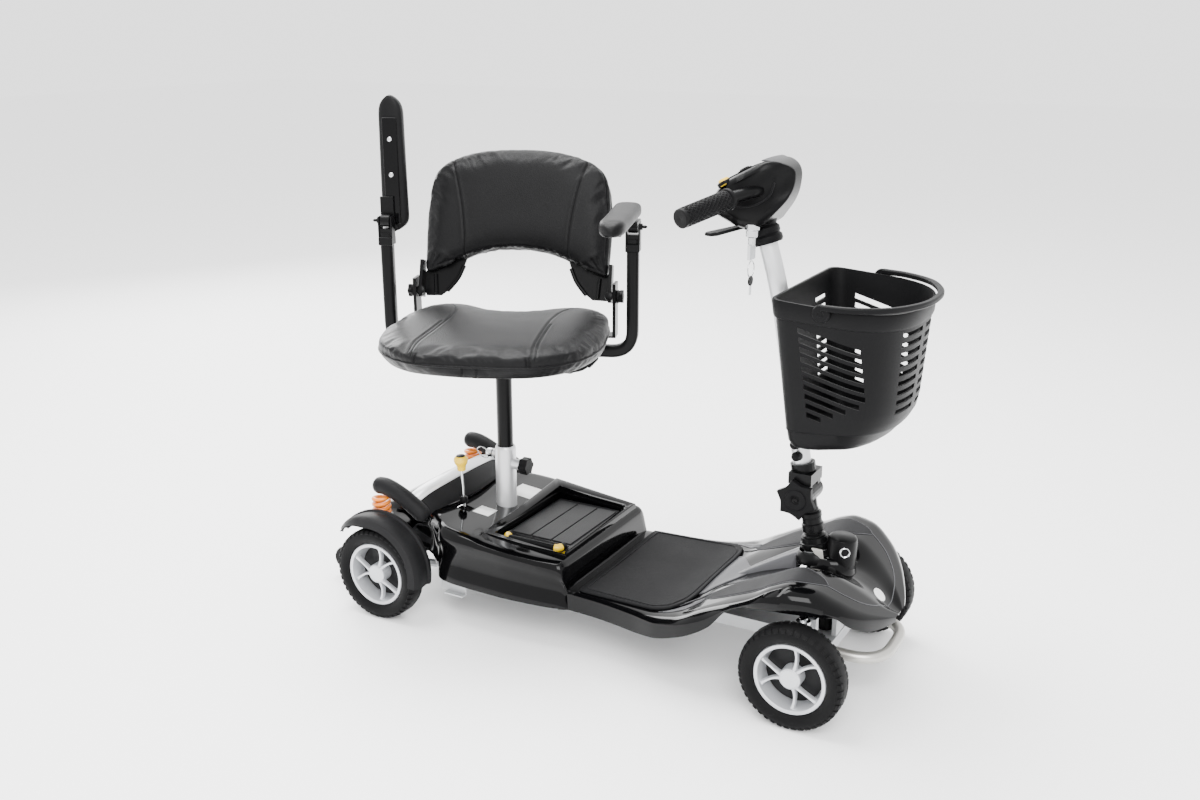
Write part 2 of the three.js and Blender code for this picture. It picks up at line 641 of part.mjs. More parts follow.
// ---------------------------------------------------------------- basket
// The basket's outline in plan at a height share t (0 the floor, 1 the rim), drawn in by `inset`.
function basketRing(t, inset) {
  const mix = (a, b) => a + (b - a) * t;
  const rear = mix(BASKET.rearLow, BASKET.rear) + inset;
  const front = mix(BASKET.frontLow, BASKET.front) - inset;
  const half = mix(BASKET.halfLow, BASKET.halfTop) - inset;
  const side = rear + 84;
  const plan = [[rear, 0], [rear, half - 22], [rear + 7, half - 7], [rear + 22, half]];
  for (let i = 0; i <= 6; i++) {
    const a = (Math.PI / 2) * (1 - i / 6);
    plan.push([side + (front - side) * Math.cos(a) ** 0.8, half * Math.sin(a) ** 0.7]);
  }
  const ring = [...plan, ...plan.slice(1, -1).reverse().map(([x, y]) => [x, -y])];
  return ring.map(([x, y]) => {
    const f = (x - BASKET.rear) / (BASKET.front - BASKET.rear);
    const floor = BASKET_Z.floorRear + (BASKET_Z.floorFront - BASKET_Z.floorRear) * f;
    const rim = BASKET_Z.rimRear + (BASKET_Z.rimFront - BASKET_Z.rimRear) * f;
    return [x, y, floor + (rim - floor) * t];
  });
}

function basket() {
  const wall = BASKET_Z.wall;
  const rim = [basketRing(0.93, 0), basketRing(0.93, -3), basketRing(1, -3)];
  const outer = loft([basketRing(0, 10), basketRing(0.05, 0), ...rim]);
  const inner = loft([basketRing(0.016, 13), basketRing(0.06, wall), basketRing(1.05, wall)]);
  return cut(outer, inner);
}

const BAIL = { x: 822, y: 151, z: 672 };

function basketHandle() {
  const { x, y, z } = BAIL;
  const plan = [[x, y], [x + 44, y - 6], [x + 92, y - 36], [x + 122, y - 92], [x + 130, 0]];
  const whole = [...plan, ...plan.slice(0, -1).reverse().map(([px, py]) => [px, -py])];
  const path = new THREE.CatmullRomCurve3(whole.map(([px, py]) => v3(px, py, z + 11 - (px - x) * 0.02)));
  const strap = solidOf(new THREE.ExtrudeGeometry(sectionShape(4.5, 6), { steps: 18, extrudePath: path }));
  const bosses = SIDES.map(([, s]) => bar([x, s * (y - 2.6), z + 2], [x, s * (y + 4), z + 2], 12, 14));
  return join(strap, ...bosses);
}

place("basket", basket(), "matte");
place("basket_handle", basketHandle(), "matte");

// ---------------------------------------------------------------- seat, in the seat group's own frame
// Base plate, swivel hub, the two receivers for the armrests and the ears that carry the back.
function seatBase() {
  const top = SEAT.base - GAP;
  const parts = [
    box(-120, 150, -140, 140, top - 3.5, top),
    bar([0, 0, POST.top + GAP], [0, 0, top - 3], 34, 20),
  ];
  for (const [, s] of SIDES) {
    const span = (a, b) => [Math.min(s * a, s * b), Math.max(s * a, s * b)];
    parts.push(box(ARM.fwd - 15, ARM.fwd + 15, ...span(62, 170), ARM.z - 15, top));
    parts.push(box(-128, -94, ...span(120, 199), top - 3.5, top));
    parts.push(box(-128, -94, ...span(193, 199), top - 3.5, 606));
  }
  const bore = ARM.tube / 2 + 0.4;
  const tunnels = SIDES.map(([, s]) =>
    box(ARM.fwd - bore, ARM.fwd + bore, s > 0 ? 66 : -260, s > 0 ? 260 : -66, ARM.z - bore, ARM.z + bore),
  );
  return cut(join(...parts), ...tunnels);
}

function cushion() {
  const half = [
    [262, 0], [256, 80], [232, 142], [180, 190], [100, 213], [10, 213], [-70, 200], [-120, 172],
    [-141, 130], [-135, 92], [-115, 48], [-105, 0],
  ];
  const outline = smoothOutline(mirroredLoop(half), 44);
  return slab(outline.reverse(), SEAT.base, SEAT.top, 12);
}

// The back is drawn upright in (lateral, height above the hinge), then leaned and set on the hinge line.
function seatBack() {
  const half = [
    [0, 285], [70, 281], [133, 264], [170, 238], [184, 196], [187, 130], [185, 60], [183, 34],
    [174, 14], [152, 4], [135, 5], [122, 24], [106, 43], [80, 64], [40, 78], [0, 81],
  ];
  const outline = [...half, ...half.slice(1, -1).reverse().map(([x, y]) => [-x, y])];
  const panel = geometryOf(slab(outline.reverse(), -22, 22, 8));
  const turn = new THREE.Matrix4().makeBasis(v3(0, 1, 0), v3(0, 0, 1), v3(1, 0, 0));
  panel.applyMatrix4(turn).translate(-10, 0, 0);
  const parts = [solidOf(panel)];
  for (const [, s] of SIDES) {
    const y = [s * 180, s * 190];
    parts.push(box(-14, 14, Math.min(...y), Math.max(...y), -14, 60));
  }
  const upright = geometryOf(join(...parts));
  upright.rotateY(rad(-SEAT.recline)).translate(SEAT.hingeFwd, 0, SEAT.hingeZ);
  return solidOf(upright);
}

function armTube(s) {
  const y = s * ARM.lateral;
  const path = [[ARM.fwd, s * 84, ARM.z], [ARM.fwd, y, ARM.z], [ARM.fwd, y, ARM.pivotZ - 12.6]];
  const side = ARM.tube / Math.SQRT2;
  return sweep(path, 42, side, 4, 12, Math.PI / 4);
}

// Pad and its bracket, lying forward from the pivot, then turned up by `lift` degrees.
function armPad(s, lift) {
  const half = ARM.padLength / 2;
  const side = [[-half, 0], [-half + 5, 18], [-half + 20, 26], [half - 24, 26], [half - 6, 17], [half, 0]];
  const pad = geometryOf(slab(smoothOutline(mirroredLoop(side), 24).reverse(), 15, 46, 8));
  pad.translate(half - ARM.padBehind, -s * 10, 0);
  const bracket = box(-9, 40, -14, 14, 7.5, 16);
  const lug = bar([0, -9, 0], [0, 9, 0], 12, 16);
  const whole = geometryOf(join(solidOf(pad), bracket, lug));
  return solidOf(whole.rotateY(rad(-lift)).translate(ARM.fwd, s * ARM.lateral, ARM.pivotZ));
}

function swivelLever() {
  return sweep([[0, 36, 460], [0, 150, 462], [0, 178, 492]], 20, 5, 8, 10);
}

function armrestKnob(s) {
  const z = ARM.z - 15 - GAP;
  const head = lobedKnob([ARM.fwd, s * 111, z - 12], [0, 0, -1], 17, 18);
  return join(head, bar([ARM.fwd, s * 111, z - 14], [ARM.fwd, s * 111, z], 6, 10));
}

place("seat_base", seatBase(), "blackMetal", seatGroup);
place("seat_cushion", cushion(), "vinyl", seatGroup);
place("seat_back", seatBack(), "vinyl", seatGroup);
for (const [side, s] of SIDES) {
  place(`armrest_tube_${side}`, armTube(s), "blackMetal", seatGroup);
  place(`armrest_knob_${side}`, armrestKnob(s), "matte", seatGroup);
}
place("armrest_pad_left", armPad(1, 0), "vinyl", seatGroup);
place("armrest_pad_right", armPad(-1, 90), "vinyl", seatGroup);
place("swivel_lever", swivelLever(), "blackMetal", seatGroup);

// ---------------------------------------------------------------- the part's frame
scooter.position.set(-FOOTPRINT_MIDDLE.x, -FOOTPRINT_MIDDLE.y, 0);

export default scooter;
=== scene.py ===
"""Looks for a four-wheel boot scooter: upholstery, shells, wheels, springs, tiller and basket.

Points are drawn in millimetres: X forward from the rear axle, Y to the rider's left from the centre plane
and Z up from the ground. Seat pieces are drawn in the seat's own frame (forward, left, up) round its post.
"""

import math

import bmesh
import bpy
import numpy as np
from mathutils import Matrix, Quaternion, Vector
from mathutils.bvhtree import BVHTree


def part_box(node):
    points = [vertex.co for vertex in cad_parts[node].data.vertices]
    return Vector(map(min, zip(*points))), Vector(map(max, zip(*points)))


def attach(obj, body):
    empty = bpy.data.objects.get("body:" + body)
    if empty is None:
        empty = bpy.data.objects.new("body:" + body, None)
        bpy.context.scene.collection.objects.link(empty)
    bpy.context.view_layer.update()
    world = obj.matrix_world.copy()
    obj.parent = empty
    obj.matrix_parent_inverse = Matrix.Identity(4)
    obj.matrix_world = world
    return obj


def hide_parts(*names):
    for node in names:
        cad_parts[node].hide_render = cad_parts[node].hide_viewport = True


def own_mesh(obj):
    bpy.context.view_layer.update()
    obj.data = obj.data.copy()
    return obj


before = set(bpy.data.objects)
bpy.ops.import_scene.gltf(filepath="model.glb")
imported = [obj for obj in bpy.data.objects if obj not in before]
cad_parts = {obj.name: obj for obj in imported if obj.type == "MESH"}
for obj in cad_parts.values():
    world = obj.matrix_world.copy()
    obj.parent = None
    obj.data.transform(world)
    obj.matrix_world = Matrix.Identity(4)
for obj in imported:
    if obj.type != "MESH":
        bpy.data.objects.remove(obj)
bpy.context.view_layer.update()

MM = 0.001
FOOTPRINT_MIDDLE = Vector((383.7, -8.8, 0))  # the frame's origin, in the drawing's millimetres
WHEEL_RADIUS = 89
WHEELBASE = 819
REAR_WHEEL_Y = 202
FRONT_WHEEL_Y = 187
KINGPIN_Y = 148
SEAT_X = 155.3
SEAT_YAW = math.radians(-69.7)
HINGE_FORWARD, HINGE_Z = -111, 579
RECLINE = math.radians(16.5)
ARM_FORWARD, ARM_SIDE, ARM_PIVOT_Z = -65, 236, 722
STEM_LEAN = (-0.19, 0, 0.98)
PORT_AT = (840.4, -21.4, 241)
LEVER_X, LEVER_Y = 105, -69
PIN_Z, CLAMP_Z = 286, 272
KEY_X, KEY_Y = 664, -42
DISC_AT = (756, -28, 324)
BAIL_X, BAIL_Z = 822, 674
SIDES = (("left", 1), ("right", -1))


def on_body(p):
    """A drawing point in millimetres as a frame point in metres."""
    return (Vector(p) - FOOTPRINT_MIDDLE) * MM


def on_seat(p):
    """A point in the seat's own frame (forward, left, up) as a frame point in metres."""
    turned = Quaternion((0, 0, 1), SEAT_YAW) @ Vector(p)
    return on_body(turned + Vector((SEAT_X, 0, 0)))


# ------------------------------------------------------------------ materials
LOOKS = {}


def look(
    name, slot, color, rough, metal=0.0, coat=0.0, grain=400, bump=0.1, vary=0.12, cells=False, shine=0.5
):
    """A procedural finish: mottled colour, uneven roughness and a fine grain from noise or cells."""
    mat = bpy.data.materials.new(name)
    mat.use_nodes = True
    nodes, links = mat.node_tree.nodes, mat.node_tree.links
    shader = nodes["Principled BSDF"]
    shader.inputs["Metallic"].default_value = metal
    shader.inputs["Specular IOR Level"].default_value = shine
    if shine < 0.5:  # dark finishes keep their grazing reflections low
        shader.inputs["Specular IOR Level"].default_value = min(0.5, 1.8 * shine)
        shader.inputs["Specular Tint"].default_value = (0.36, 0.36, 0.36, 1)
    shader.inputs["Coat Weight"].default_value = coat
    shader.inputs["Coat Roughness"].default_value = 0.06
    place = nodes.new("ShaderNodeTexCoord")
    mottle = nodes.new("ShaderNodeTexNoise")
    mottle.inputs["Scale"].default_value = 14
    mottle.inputs["Detail"].default_value = 6
    links.new(place.outputs["Object"], mottle.inputs["Vector"])
    ramp = nodes.new("ShaderNodeValToRGB")
    ramp.color_ramp.elements[0].position = 0.3
    ramp.color_ramp.elements[1].position = 0.7
    ramp.color_ramp.elements[0].color = (*[c * (1 - vary) for c in color], 1)
    ramp.color_ramp.elements[1].color = (*[min(1, c * (1 + vary)) for c in color], 1)
    links.new(mottle.outputs["Fac"], ramp.inputs["Fac"])
    links.new(ramp.outputs["Color"], shader.inputs["Base Color"])
    uneven = nodes.new("ShaderNodeMapRange")
    uneven.inputs["To Min"].default_value = max(0.02, rough * 0.85)
    uneven.inputs["To Max"].default_value = min(1, rough * 1.15)
    links.new(mottle.outputs["Fac"], uneven.inputs["Value"])
    links.new(uneven.outputs["Result"], shader.inputs["Roughness"])
    fine = nodes.new("ShaderNodeTexVoronoi" if cells else "ShaderNodeTexNoise")
    fine.inputs["Scale"].default_value = grain
    links.new(place.outputs["Object"], fine.inputs["Vector"])
    raised = nodes.new("ShaderNodeBump")
    raised.inputs["Strength"].default_value = bump
    raised.inputs["Distance"].default_value = 0.0006
    links.new(fine.outputs["Distance" if cells else "Fac"], raised.inputs["Height"])
    links.new(raised.outputs["Normal"], shader.inputs["Normal"])
    LOOKS[name] = (mat, slot)


look("vinyl", "vinyl", (0.005, 0.005, 0.0053), 0.4, grain=620, bump=0.5, cells=True, shine=0.12)
look("gloss_black", "gloss", (0.0012, 0.0012, 0.0014), 0.09, grain=900, bump=0.01, shine=0.2)
look("soft_black", "matte", (0.0035, 0.0035, 0.0038), 0.46, grain=1100, bump=0.22, shine=0.1)
look("charcoal", "matte", (0.0075, 0.0075, 0.008), 0.52, grain=1000, bump=0.3, shine=0.11)
look("battery_case", "matte", (0.009, 0.009, 0.0095), 0.42, grain=900, bump=0.25, shine=0.14)
look("deck_rubber", "mat", (0.0085, 0.0085, 0.009), 0.7, grain=520, bump=0.8, cells=True, shine=0.08)
look("leaf_inlay", "mat", (0.014, 0.014, 0.015), 0.6, grain=700, bump=0.4, shine=0.09)
look("ridge_grey", "gloss", (0.055, 0.055, 0.059), 0.34, grain=900, bump=0.05, shine=0.26)
look("tyre_rubber", "tyre", (0.0038, 0.0038, 0.004), 0.6, grain=500, bump=0.35, shine=0.09)
look("wheel_silver", "rim", (0.5, 0.51, 0.53), 0.36, metal=0.6, coat=0.2, grain=1500, bump=0.12, vary=0.05)
look("dish_black", "matte", (0.006, 0.006, 0.0065), 0.5, grain=900, bump=0.2, shine=0.2)
look("satin_silver", "silver", (0.6, 0.605, 0.615), 0.36, metal=0.7, grain=1600, bump=0.12, vary=0.04)
look("bright_band", "silver", (0.74, 0.745, 0.755), 0.34, metal=0.4, coat=0.3, grain=1400, bump=0.08,
     vary=0.03)
look("bumper_silver", "silver", (0.44, 0.43, 0.4), 0.36, metal=0.7, coat=0.2, grain=1400, bump=0.1, vary=0.05)
look("frame_grey", "frame", (0.5, 0.51, 0.52), 0.45, metal=0.4, grain=1100, bump=0.15, vary=0.06)
look("black_metal", "blackMetal", (0.0025, 0.0025, 0.0027), 0.3, grain=900, bump=0.1, shine=0.14)
look("plated_steel", "steel", (0.6, 0.61, 0.62), 0.18, metal=1.0, grain=800, bump=0.05, vary=0.04)
look("spring_orange", "orange", (0.8, 0.2, 0.002), 0.34, coat=0.3, grain=900, bump=0.1, vary=0.08)
look("knob_yellow", "yellow", (0.75, 0.48, 0.001), 0.42, coat=0.15, grain=900, bump=0.15, vary=0.06)
look("console_black", "gloss", (0.003, 0.003, 0.0032), 0.3, grain=1000, bump=0.12, shine=0.1)
look("label_white", None, (0.8, 0.8, 0.79), 0.5, grain=300, bump=0.03, vary=0.03)
# painted reflection: a grey that stands in for the grazing reflection on the console's gloss black front end
look("painted_reflection_grey", "gloss", (0.035, 0.035, 0.037), 0.4, grain=900, bump=0.1, shine=0.2)


# ------------------------------------------------------------------ shapes: (points, faces)
def merge(*shapes):
    points, faces = [], []
    for more, loops in shapes:
        first = len(points)
        points.extend(Vector(p) for p in more)
        faces.extend(tuple(i + first for i in loop) for loop in loops)
    return points, faces


def moved(shape, matrix):
    return [matrix @ Vector(p) for p in shape[0]], shape[1]


def loft(rings, closed=True, caps=True):
    """A skin over rings of equal length; closed joins each ring's last point to its first."""
    count = len(rings[0])
    points = [Vector(p) for ring in rings for p in ring]
    faces = []
    span = count if closed else count - 1
    for r in range(len(rings) - 1):
        for i in range(span):
            j = (i + 1) % count
            a, b = r * count, (r + 1) * count
            faces.append((a + i, a + j, b + j, b + i))
    if caps and closed:
        faces.append(tuple(reversed(range(count))))
        last = (len(rings) - 1) * count
        faces.append(tuple(range(last, last + count)))
    return points, faces


def spline(points, count, closed=False):
    """`count` points on a Catmull-Rom curve through the given points."""
    p = np.array([tuple(q) for q in points], float)
    n = len(p)
    out = []
    for t in np.linspace(0, n if closed else n - 1, count, endpoint=not closed):
        i = min(int(t), n - 1 if closed else n - 2)
        f = t - i
        if closed:
            a, b, c, d = (p[(i + k) % n] for k in (-1, 0, 1, 2))
        else:
            b, c = p[i], p[i + 1]
            a = p[i - 1] if i > 0 else 2 * b - c
            d = p[i + 2] if i + 2 < n else 2 * c - b
        q = 0.5 * (2 * b + (c - a) * f + (2 * a - 5 * b + 4 * c - d) * f**2 + (3 * b - a - 3 * c + d) * f**3)
        out.append(Vector(q))
    return out


def rounded(points, radius, steps=6):
    """The corners of a path rounded off."""
    pts = [Vector(p) for p in points]
    out = [pts[0]]
    for before, corner, after in zip(pts, pts[1:], pts[2:]):
        a = corner + (before - corner).normalized() * radius
        b = corner + (after - corner).normalized() * radius
        for k in range(steps + 1):
            t = k / steps
            out.append((1 - t) ** 2 * a + 2 * t * (1 - t) * corner + t**2 * b)
    out.append(pts[-1])
    return out


def tube(path, radius, sides=16, closed=False, section=None):
    """A tube along a path: radius is a number or one per point, section an outline in place of a circle."""
    pts = [Vector(p) for p in path]
    n = len(pts)
    radii = radius if hasattr(radius, "__len__") else [radius] * n
    unit = section or [
        (math.cos(2 * math.pi * k / sides), math.sin(2 * math.pi * k / sides)) for k in range(sides)
    ]
    rings = []
    normal = None
    for i, p in enumerate(pts):
        ahead = pts[(i + 1) % n] if closed or i + 1 < n else p
        behind = pts[i - 1] if closed or i > 0 else p
        along = (ahead - behind).normalized()
        if normal is None:
            upright = abs(along.z) > 0.95
            normal = (along.orthogonal() if upright else along.cross((0, 0, 1))).normalized()
        normal = (normal - along * normal.dot(along)).normalized()
        other = along.cross(normal)
        rings.append([p + (normal * u + other * v) * radii[i] for u, v in unit])
    if closed:
        rings.append(rings[0])
    return loft(rings, caps=not closed)


def turned(profile, at, axis, steps=48):
    """[radius, height] points revolved about the line through `at` along `axis`."""
    spin = Vector((0, 0, 1)).rotation_difference(Vector(axis)).to_matrix().to_4x4()
    rings = []
    for r, h in profile:
        angles = (2 * math.pi * k / steps for k in range(steps))
        rings.append([Vector((max(r, 0.01) * math.cos(a), max(r, 0.01) * math.sin(a), h)) for a in angles])
    skin = loft(rings, caps=profile[0] != profile[-1])
    return moved(skin, Matrix.Translation(Vector(at)) @ spin)


def prism(outline, low, high, at=(0, 0, 0), axis=(0, 0, 1), up=None):
    """An outline of [u, v] points raised along an axis, with `up` as the direction of v."""
    w = Vector(axis).normalized()
    v = Vector(up).normalized() if up else w.orthogonal().normalized()
    u = v.cross(w)
    base = [Vector(at) + u * p[0] + v * p[1] for p in outline]
    return loft([[p + w * low for p in base], [p + w * high for p in base]])


def block(low, high):
    (x0, y0, z0), (x1, y1, z1) = low, high
    return loft([[(x0, y0, z), (x1, y0, z), (x1, y1, z), (x0, y1, z)] for z in (z0, z1)])


def disc_outline(radius, count=32, lobes=0, depth=0.0):
    """A round outline, scalloped when it has lobes."""
    out = []
    for k in range(count):
        a = 2 * math.pi * k / count
        r = radius * (1 - depth * (0.5 - 0.5 * math.cos(lobes * a)))
        out.append((r * math.cos(a), r * math.sin(a)))
    return out


def new_object(name, shape, place, weld=False):
    """A linked object from points and faces, with its faces turned outwards."""
    points, faces = shape
    mesh = bpy.data.meshes.new(name)
    mesh.from_pydata([tuple(place(p)) for p in points], [], faces)
    bm = bmesh.new()
    bm.from_mesh(mesh)
    if weld:
        bmesh.ops.remove_doubles(bm, verts=bm.verts, dist=1e-6)
    bmesh.ops.recalc_face_normals(bm, faces=bm.faces)
    bm.to_mesh(mesh)
    bm.free()
    made = bpy.data.objects.new(name, mesh)
    bpy.context.scene.collection.objects.link(made)
    return made


def piece(
    name, shape, finish, body, stands_for=(), place=on_body, smooth=35, bevel=0.0, levels=0, wall=0.0, cuts=()
):
    """Makes one shown piece, puts it on its CAD body and hides the CAD nodes that it stands for."""
    made = new_object(name, shape, place, weld=True)
    if wall:
        thick = made.modifiers.new("wall", "SOLIDIFY")
        thick.thickness = wall * MM
        thick.offset = -1
        thick.use_even_offset = False
    for cutter in cuts:
        boolean = made.modifiers.new("cut", "BOOLEAN")
        boolean.object = cutter
        boolean.solver = "EXACT"
    if bevel:
        edge = made.modifiers.new("edge", "BEVEL")
        edge.width = bevel * MM
        edge.segments = 3
        edge.limit_method = "ANGLE"
        edge.angle_limit = math.radians(38)
        edge.harden_normals = True
    if levels:
        fine = made.modifiers.new("fine", "SUBSURF")
        fine.levels = fine.render_levels = levels
    if cuts:
        bake_modifiers(made)
        for cutter in cuts:
            bpy.data.objects.remove(cutter)
    finish_piece(made, finish, body, stands_for, smooth)
    return made


def bake_modifiers(made):
    """Turns the modifiers' result into the object's own mesh."""
    depsgraph = bpy.context.evaluated_depsgraph_get()
    final = bpy.data.meshes.new_from_object(made.evaluated_get(depsgraph))
    made.modifiers.clear()
    made.data = final


def finish_piece(made, finish, body, stands_for=(), smooth=35):
    mat, slot = LOOKS[finish]
    made.data.materials.clear()
    made.data.materials.append(mat)
    made.data.shade_smooth()
    made.data.set_sharp_from_angle(angle=math.radians(smooth))
    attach(made, body)
    if stands_for:
        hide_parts(*([stands_for] if isinstance(stands_for, str) else stands_for))


def cutter_of(shape, place=on_body):
    """A hidden object for a boolean cut."""
    made = new_object("cutter", shape, place)
    made.hide_render = True
    return made


def keep_cad(finish, *names, bevel=0.8):
    """CAD nodes that stay as they are, with a finish and softened edges."""
    for name in names:
        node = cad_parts[name]
        mat, slot = LOOKS[finish]
        node.data.materials.clear()
        node.data.materials.append(mat)
        node.data.shade_smooth()
        node.data.set_sharp_from_angle(angle=math.radians(32))
        edge = node.modifiers.new("edge", "BEVEL")
        edge.width = bevel * MM
        edge.segments = 2
        edge.limit_method = "ANGLE"
        edge.angle_limit = math.radians(40)


def screw(at, axis, radius=4):
    """A domed screw head with a shallow round socket."""
    dome = [(1, 0), (1, 0.8), (0.8, 2), (0.42, 2.4), (0.36, 1.4), (0, 1.2)]
    return turned([(radius * r, h) for r, h in dome], at, axis, 20)


# ------------------------------------------------------------------ wheels
def tyre_shape(x, y):
    """A rounded tyre with a row of transverse lugs along each shoulder."""
    profile = [(62, -16), (66, -19.5), (72, -21.6), (78, -21.8), (83, -19.5), (86.6, -15)]
    profile += [(88.3, -9), (88.8, 0)]
    profile += [(r, -h) for r, h in reversed(profile[:-1])]
    shapes = [turned(profile + [(62, -16)], (x, y, WHEEL_RADIUS), (0, 1, 0), 72)]
    lug = [(83.4, 21.0), (87.2, 17.0), (88.9, 9.5), (86.0, 9.5), (80.0, 20.0)]
    lugs = 44
    for k in range(lugs):
        for side in (1, -1):
            a = 2 * math.pi * (k + (0.5 if side > 0 else 0)) / lugs
            half = 0.042
            rings = []
            for turn in (a - half, a + half):
                c, d = math.cos(turn), math.sin(turn)
                rings.append([(x + r * c, y + side * w, WHEEL_RADIUS + r * d) for r, w in lug])
            shapes.append(loft(rings))
    return merge(*shapes)


def spoke_shape(x, y, side, angle, lean):
    """One blade spoke from the hub to the ring, leaning towards its partner."""
    foot, tip = angle + math.radians(9 * lean), angle + math.radians(25 * lean)
    rings = []
    for t in np.linspace(0, 1, 7):
        a = foot + (tip - foot) * t
        r = 14 + 41 * t
        half = 2.7 + 2.6 * t**7 + 2.4 * (1 - t) ** 5
        depth = 4.2
        out = y + side * (13.5 - 3.5 * math.sin(math.pi * t) - 2.5 * t)
        c = Vector((x + r * math.cos(a), 0, WHEEL_RADIUS + r * math.sin(a)))
        across = Vector((-math.sin(a), 0, math.cos(a)))
        ring = []
        for u, v in ((-1, -1), (-1, 0.2), (-0.55, 1), (0.55, 1), (1, 0.2), (1, -1)):
            p = c + across * (half * u)
            p.y = out + side * (depth * v - depth)
            ring.append(p)
        rings.append(ring if side > 0 else ring[::-1])
    return loft(rings)


def rim_shape(x, y, side):
    hub, axle = (x, y, WHEEL_RADIUS), (0, side, 0)
    ring = [(61.4, -16), (61.4, 14), (60.2, 16.4), (57.0, 17), (54.4, 15.8), (53.4, 12), (51.5, 2), (49, -9)]
    shapes = [turned([*ring, (49, -16), ring[0]], hub, axle, 64)]
    cap = [(0, -14), (18.4, -14), (18.4, 10.5), (17.6, 13.4), (15.2, 14.6), (14.6, 13.9), (10, 14.2)]
    cap.append((5, 14.5))
    shapes.append(turned([*cap, (0, 14.6)], hub, axle, 40))
    for pair in range(3):
        for lean in (-1, 1):
            shapes.append(spoke_shape(x, y, side, math.radians(60 + 120 * pair), lean))
    return merge(*shapes)


def dish_shape(x, y, side):
    """The dark face set back behind the spokes."""
    profile = [(0, -9), (17, -9), (32, -9), (48.7, -11), (48.7, -14), (32, -13), (17, -13), (0, -13)]
    return turned(profile, (x, y, WHEEL_RADIUS), (0, side, 0), 48)


def wheels():
    for end, x, half_track in (("rear", 0, REAR_WHEEL_Y), ("front", WHEELBASE, FRONT_WHEEL_Y)):
        for side, s in SIDES:
            body = f"{end}_wheel_{side}"
            y = s * half_track
            tyre, rim = f"{end}_tyre_{side}", f"{end}_rim_{side}"
            piece(f"{end}_tread_{side}", tyre_shape(x, y), "tyre_rubber", body, tyre, smooth=28)
            piece(f"{end}_hub_{side}", rim_shape(x, y, s), "wheel_silver", body, rim, bevel=0.7)
            piece(f"{end}_dish_{side}", dish_shape(x, y, s), "dish_black", body)


wheels()


# ------------------------------------------------------------------ springs, fenders and the bridge over them
def coil(at, radius, wire, low, high, turns):
    steps = int(turns * 20)
    path = []
    for k in range(steps + 1):
        a = 2 * math.pi * turns * k / steps
        z = low + wire + (high - low - 2 * wire) * k / steps
        path.append((at[0] + radius * math.cos(a), at[1] + radius * math.sin(a), z))
    return tube(path, wire, 10)


def fender_shape(side):
    """An arch with a rounded outer edge, a raised inner ridge, a blunt front end and a pointed tail."""
    rings = []
    for t in np.linspace(0, 1, 30):
        a = math.radians(-6 + 152 * t)
        r = 98 + 19 * math.sin(math.pi / 2 * t)
        fade = max(0.0, (t - 0.72) / 0.28)
        outer = 223.5 - 20 * fade**1.6
        inner = 174.5 + 4 * fade**2
        skirt = 16 * (1 - fade) + 4
        web = (r - 5) * (0.26 * (1 - 0.75 * fade))
        section = [
            (inner, r - web), (inner, r - 3), (inner + 3, r + 1.5), (inner + 9, r + 2.2),
            (inner + 12, r - 1.2), ((outer + inner) / 2 + 5, r + 0.6), (outer - 8, r - 1), (outer - 2, r - 6),
            (outer, r - skirt), (outer - 3, r - skirt), (outer - 5, r - 9), (outer - 11, r - 4.6),
            ((outer + inner) / 2, r - 3.4),
            (inner + 6, r - 4), (inner + 3.4, r - 8), (inner + 3.4, r - web),
        ]
        rings.append([(q * math.cos(a), w * side, WHEEL_RADIUS + q * math.sin(a)) for w, q in section])
    return loft(rings)


def springs_and_fenders():
    for side, s in SIDES:
        piece(f"fender_{side}", fender_shape(s), "charcoal", "rear_axle", f"rear_fender_{side}", smooth=40)
        low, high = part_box(f"rear_spring_{side}")
        centre = (-30, s * 152)
        spring = piece(
            f"rear_coil_{side}", coil(centre, 14.5, 4.1, low.z / MM, high.z / MM, 3.1), "spring_orange",
            "rear_axle", f"rear_spring_{side}", smooth=60,
        )
        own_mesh(spring)
        low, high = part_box(f"front_spring_{side}")
        centre = (WHEELBASE, s * KINGPIN_Y)
        spring = piece(
            f"front_coil_{side}", coil(centre, 10.5, 2.2, low.z / MM, high.z / MM, 3.6), "plated_steel",
            f"front_carrier_{side}", f"front_spring_{side}", smooth=60,
        )
        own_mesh(spring)


PAD_STEPS = 26


def pad_end(k):
    """How full a pad's section is at step k: round at both ends, whole between them."""
    near = min(k, PAD_STEPS - 1 - k)
    return math.sqrt(max(0.0, 1 - (1 - near / 3.2) ** 2)) if near < 3.2 else 1.0


def bridge():
    """Two fat bars over the rear springs, the bright band between them and the dark hollow under it."""
    pads = []
    for _, s in SIDES:
        y = s * 150
        rise = [(-46, y, 238), (-18, y, 240), (16, y, 229), (46, y * 0.99, 211), (72, y * 0.97, 190)]
        path = spline(rise, PAD_STEPS)
        pads.append(tube(path, [16.5 * max(0.12, pad_end(k)) for k in range(PAD_STEPS)], 24))
    piece("bridge_pads", merge(*pads), "charcoal", "chassis", "spring_bridge", smooth=60)
    half = [(26, 140, 214), (38, 104, 230), (48, 52, 239)]
    arch = spline([*half, (52, 0, 242), *[(x, -y, z) for x, y, z in reversed(half)]], 40)
    band = [(-16, -3), (-14, 0.5), (-3, 2.6), (8, 0.5), (13, -3.5), (13, -6), (7, -2.4), (-3, -0.6)]
    band.append((-14, -4))
    rings = [[(p.x + u, p.y, p.z + v) for u, v in band] for p in arch]
    piece("bridge_band", loft(rings), "bright_band", "chassis", smooth=50)
    hood = [(12.6, -6), (24, -14), (34, -28), (36, -42), (31, -43), (26, -30), (17, -18), (9, -10)]
    rings = []
    for p in arch:
        drop = 0.55 + 0.45 * (1 - (p.y / 150) ** 2)
        rings.append([(p.x + u, p.y * 0.985, p.z + v * drop) for u, v in hood])
    piece("bridge_hood", loft(rings), "charcoal", "chassis", smooth=50)


springs_and_fenders()
bridge()


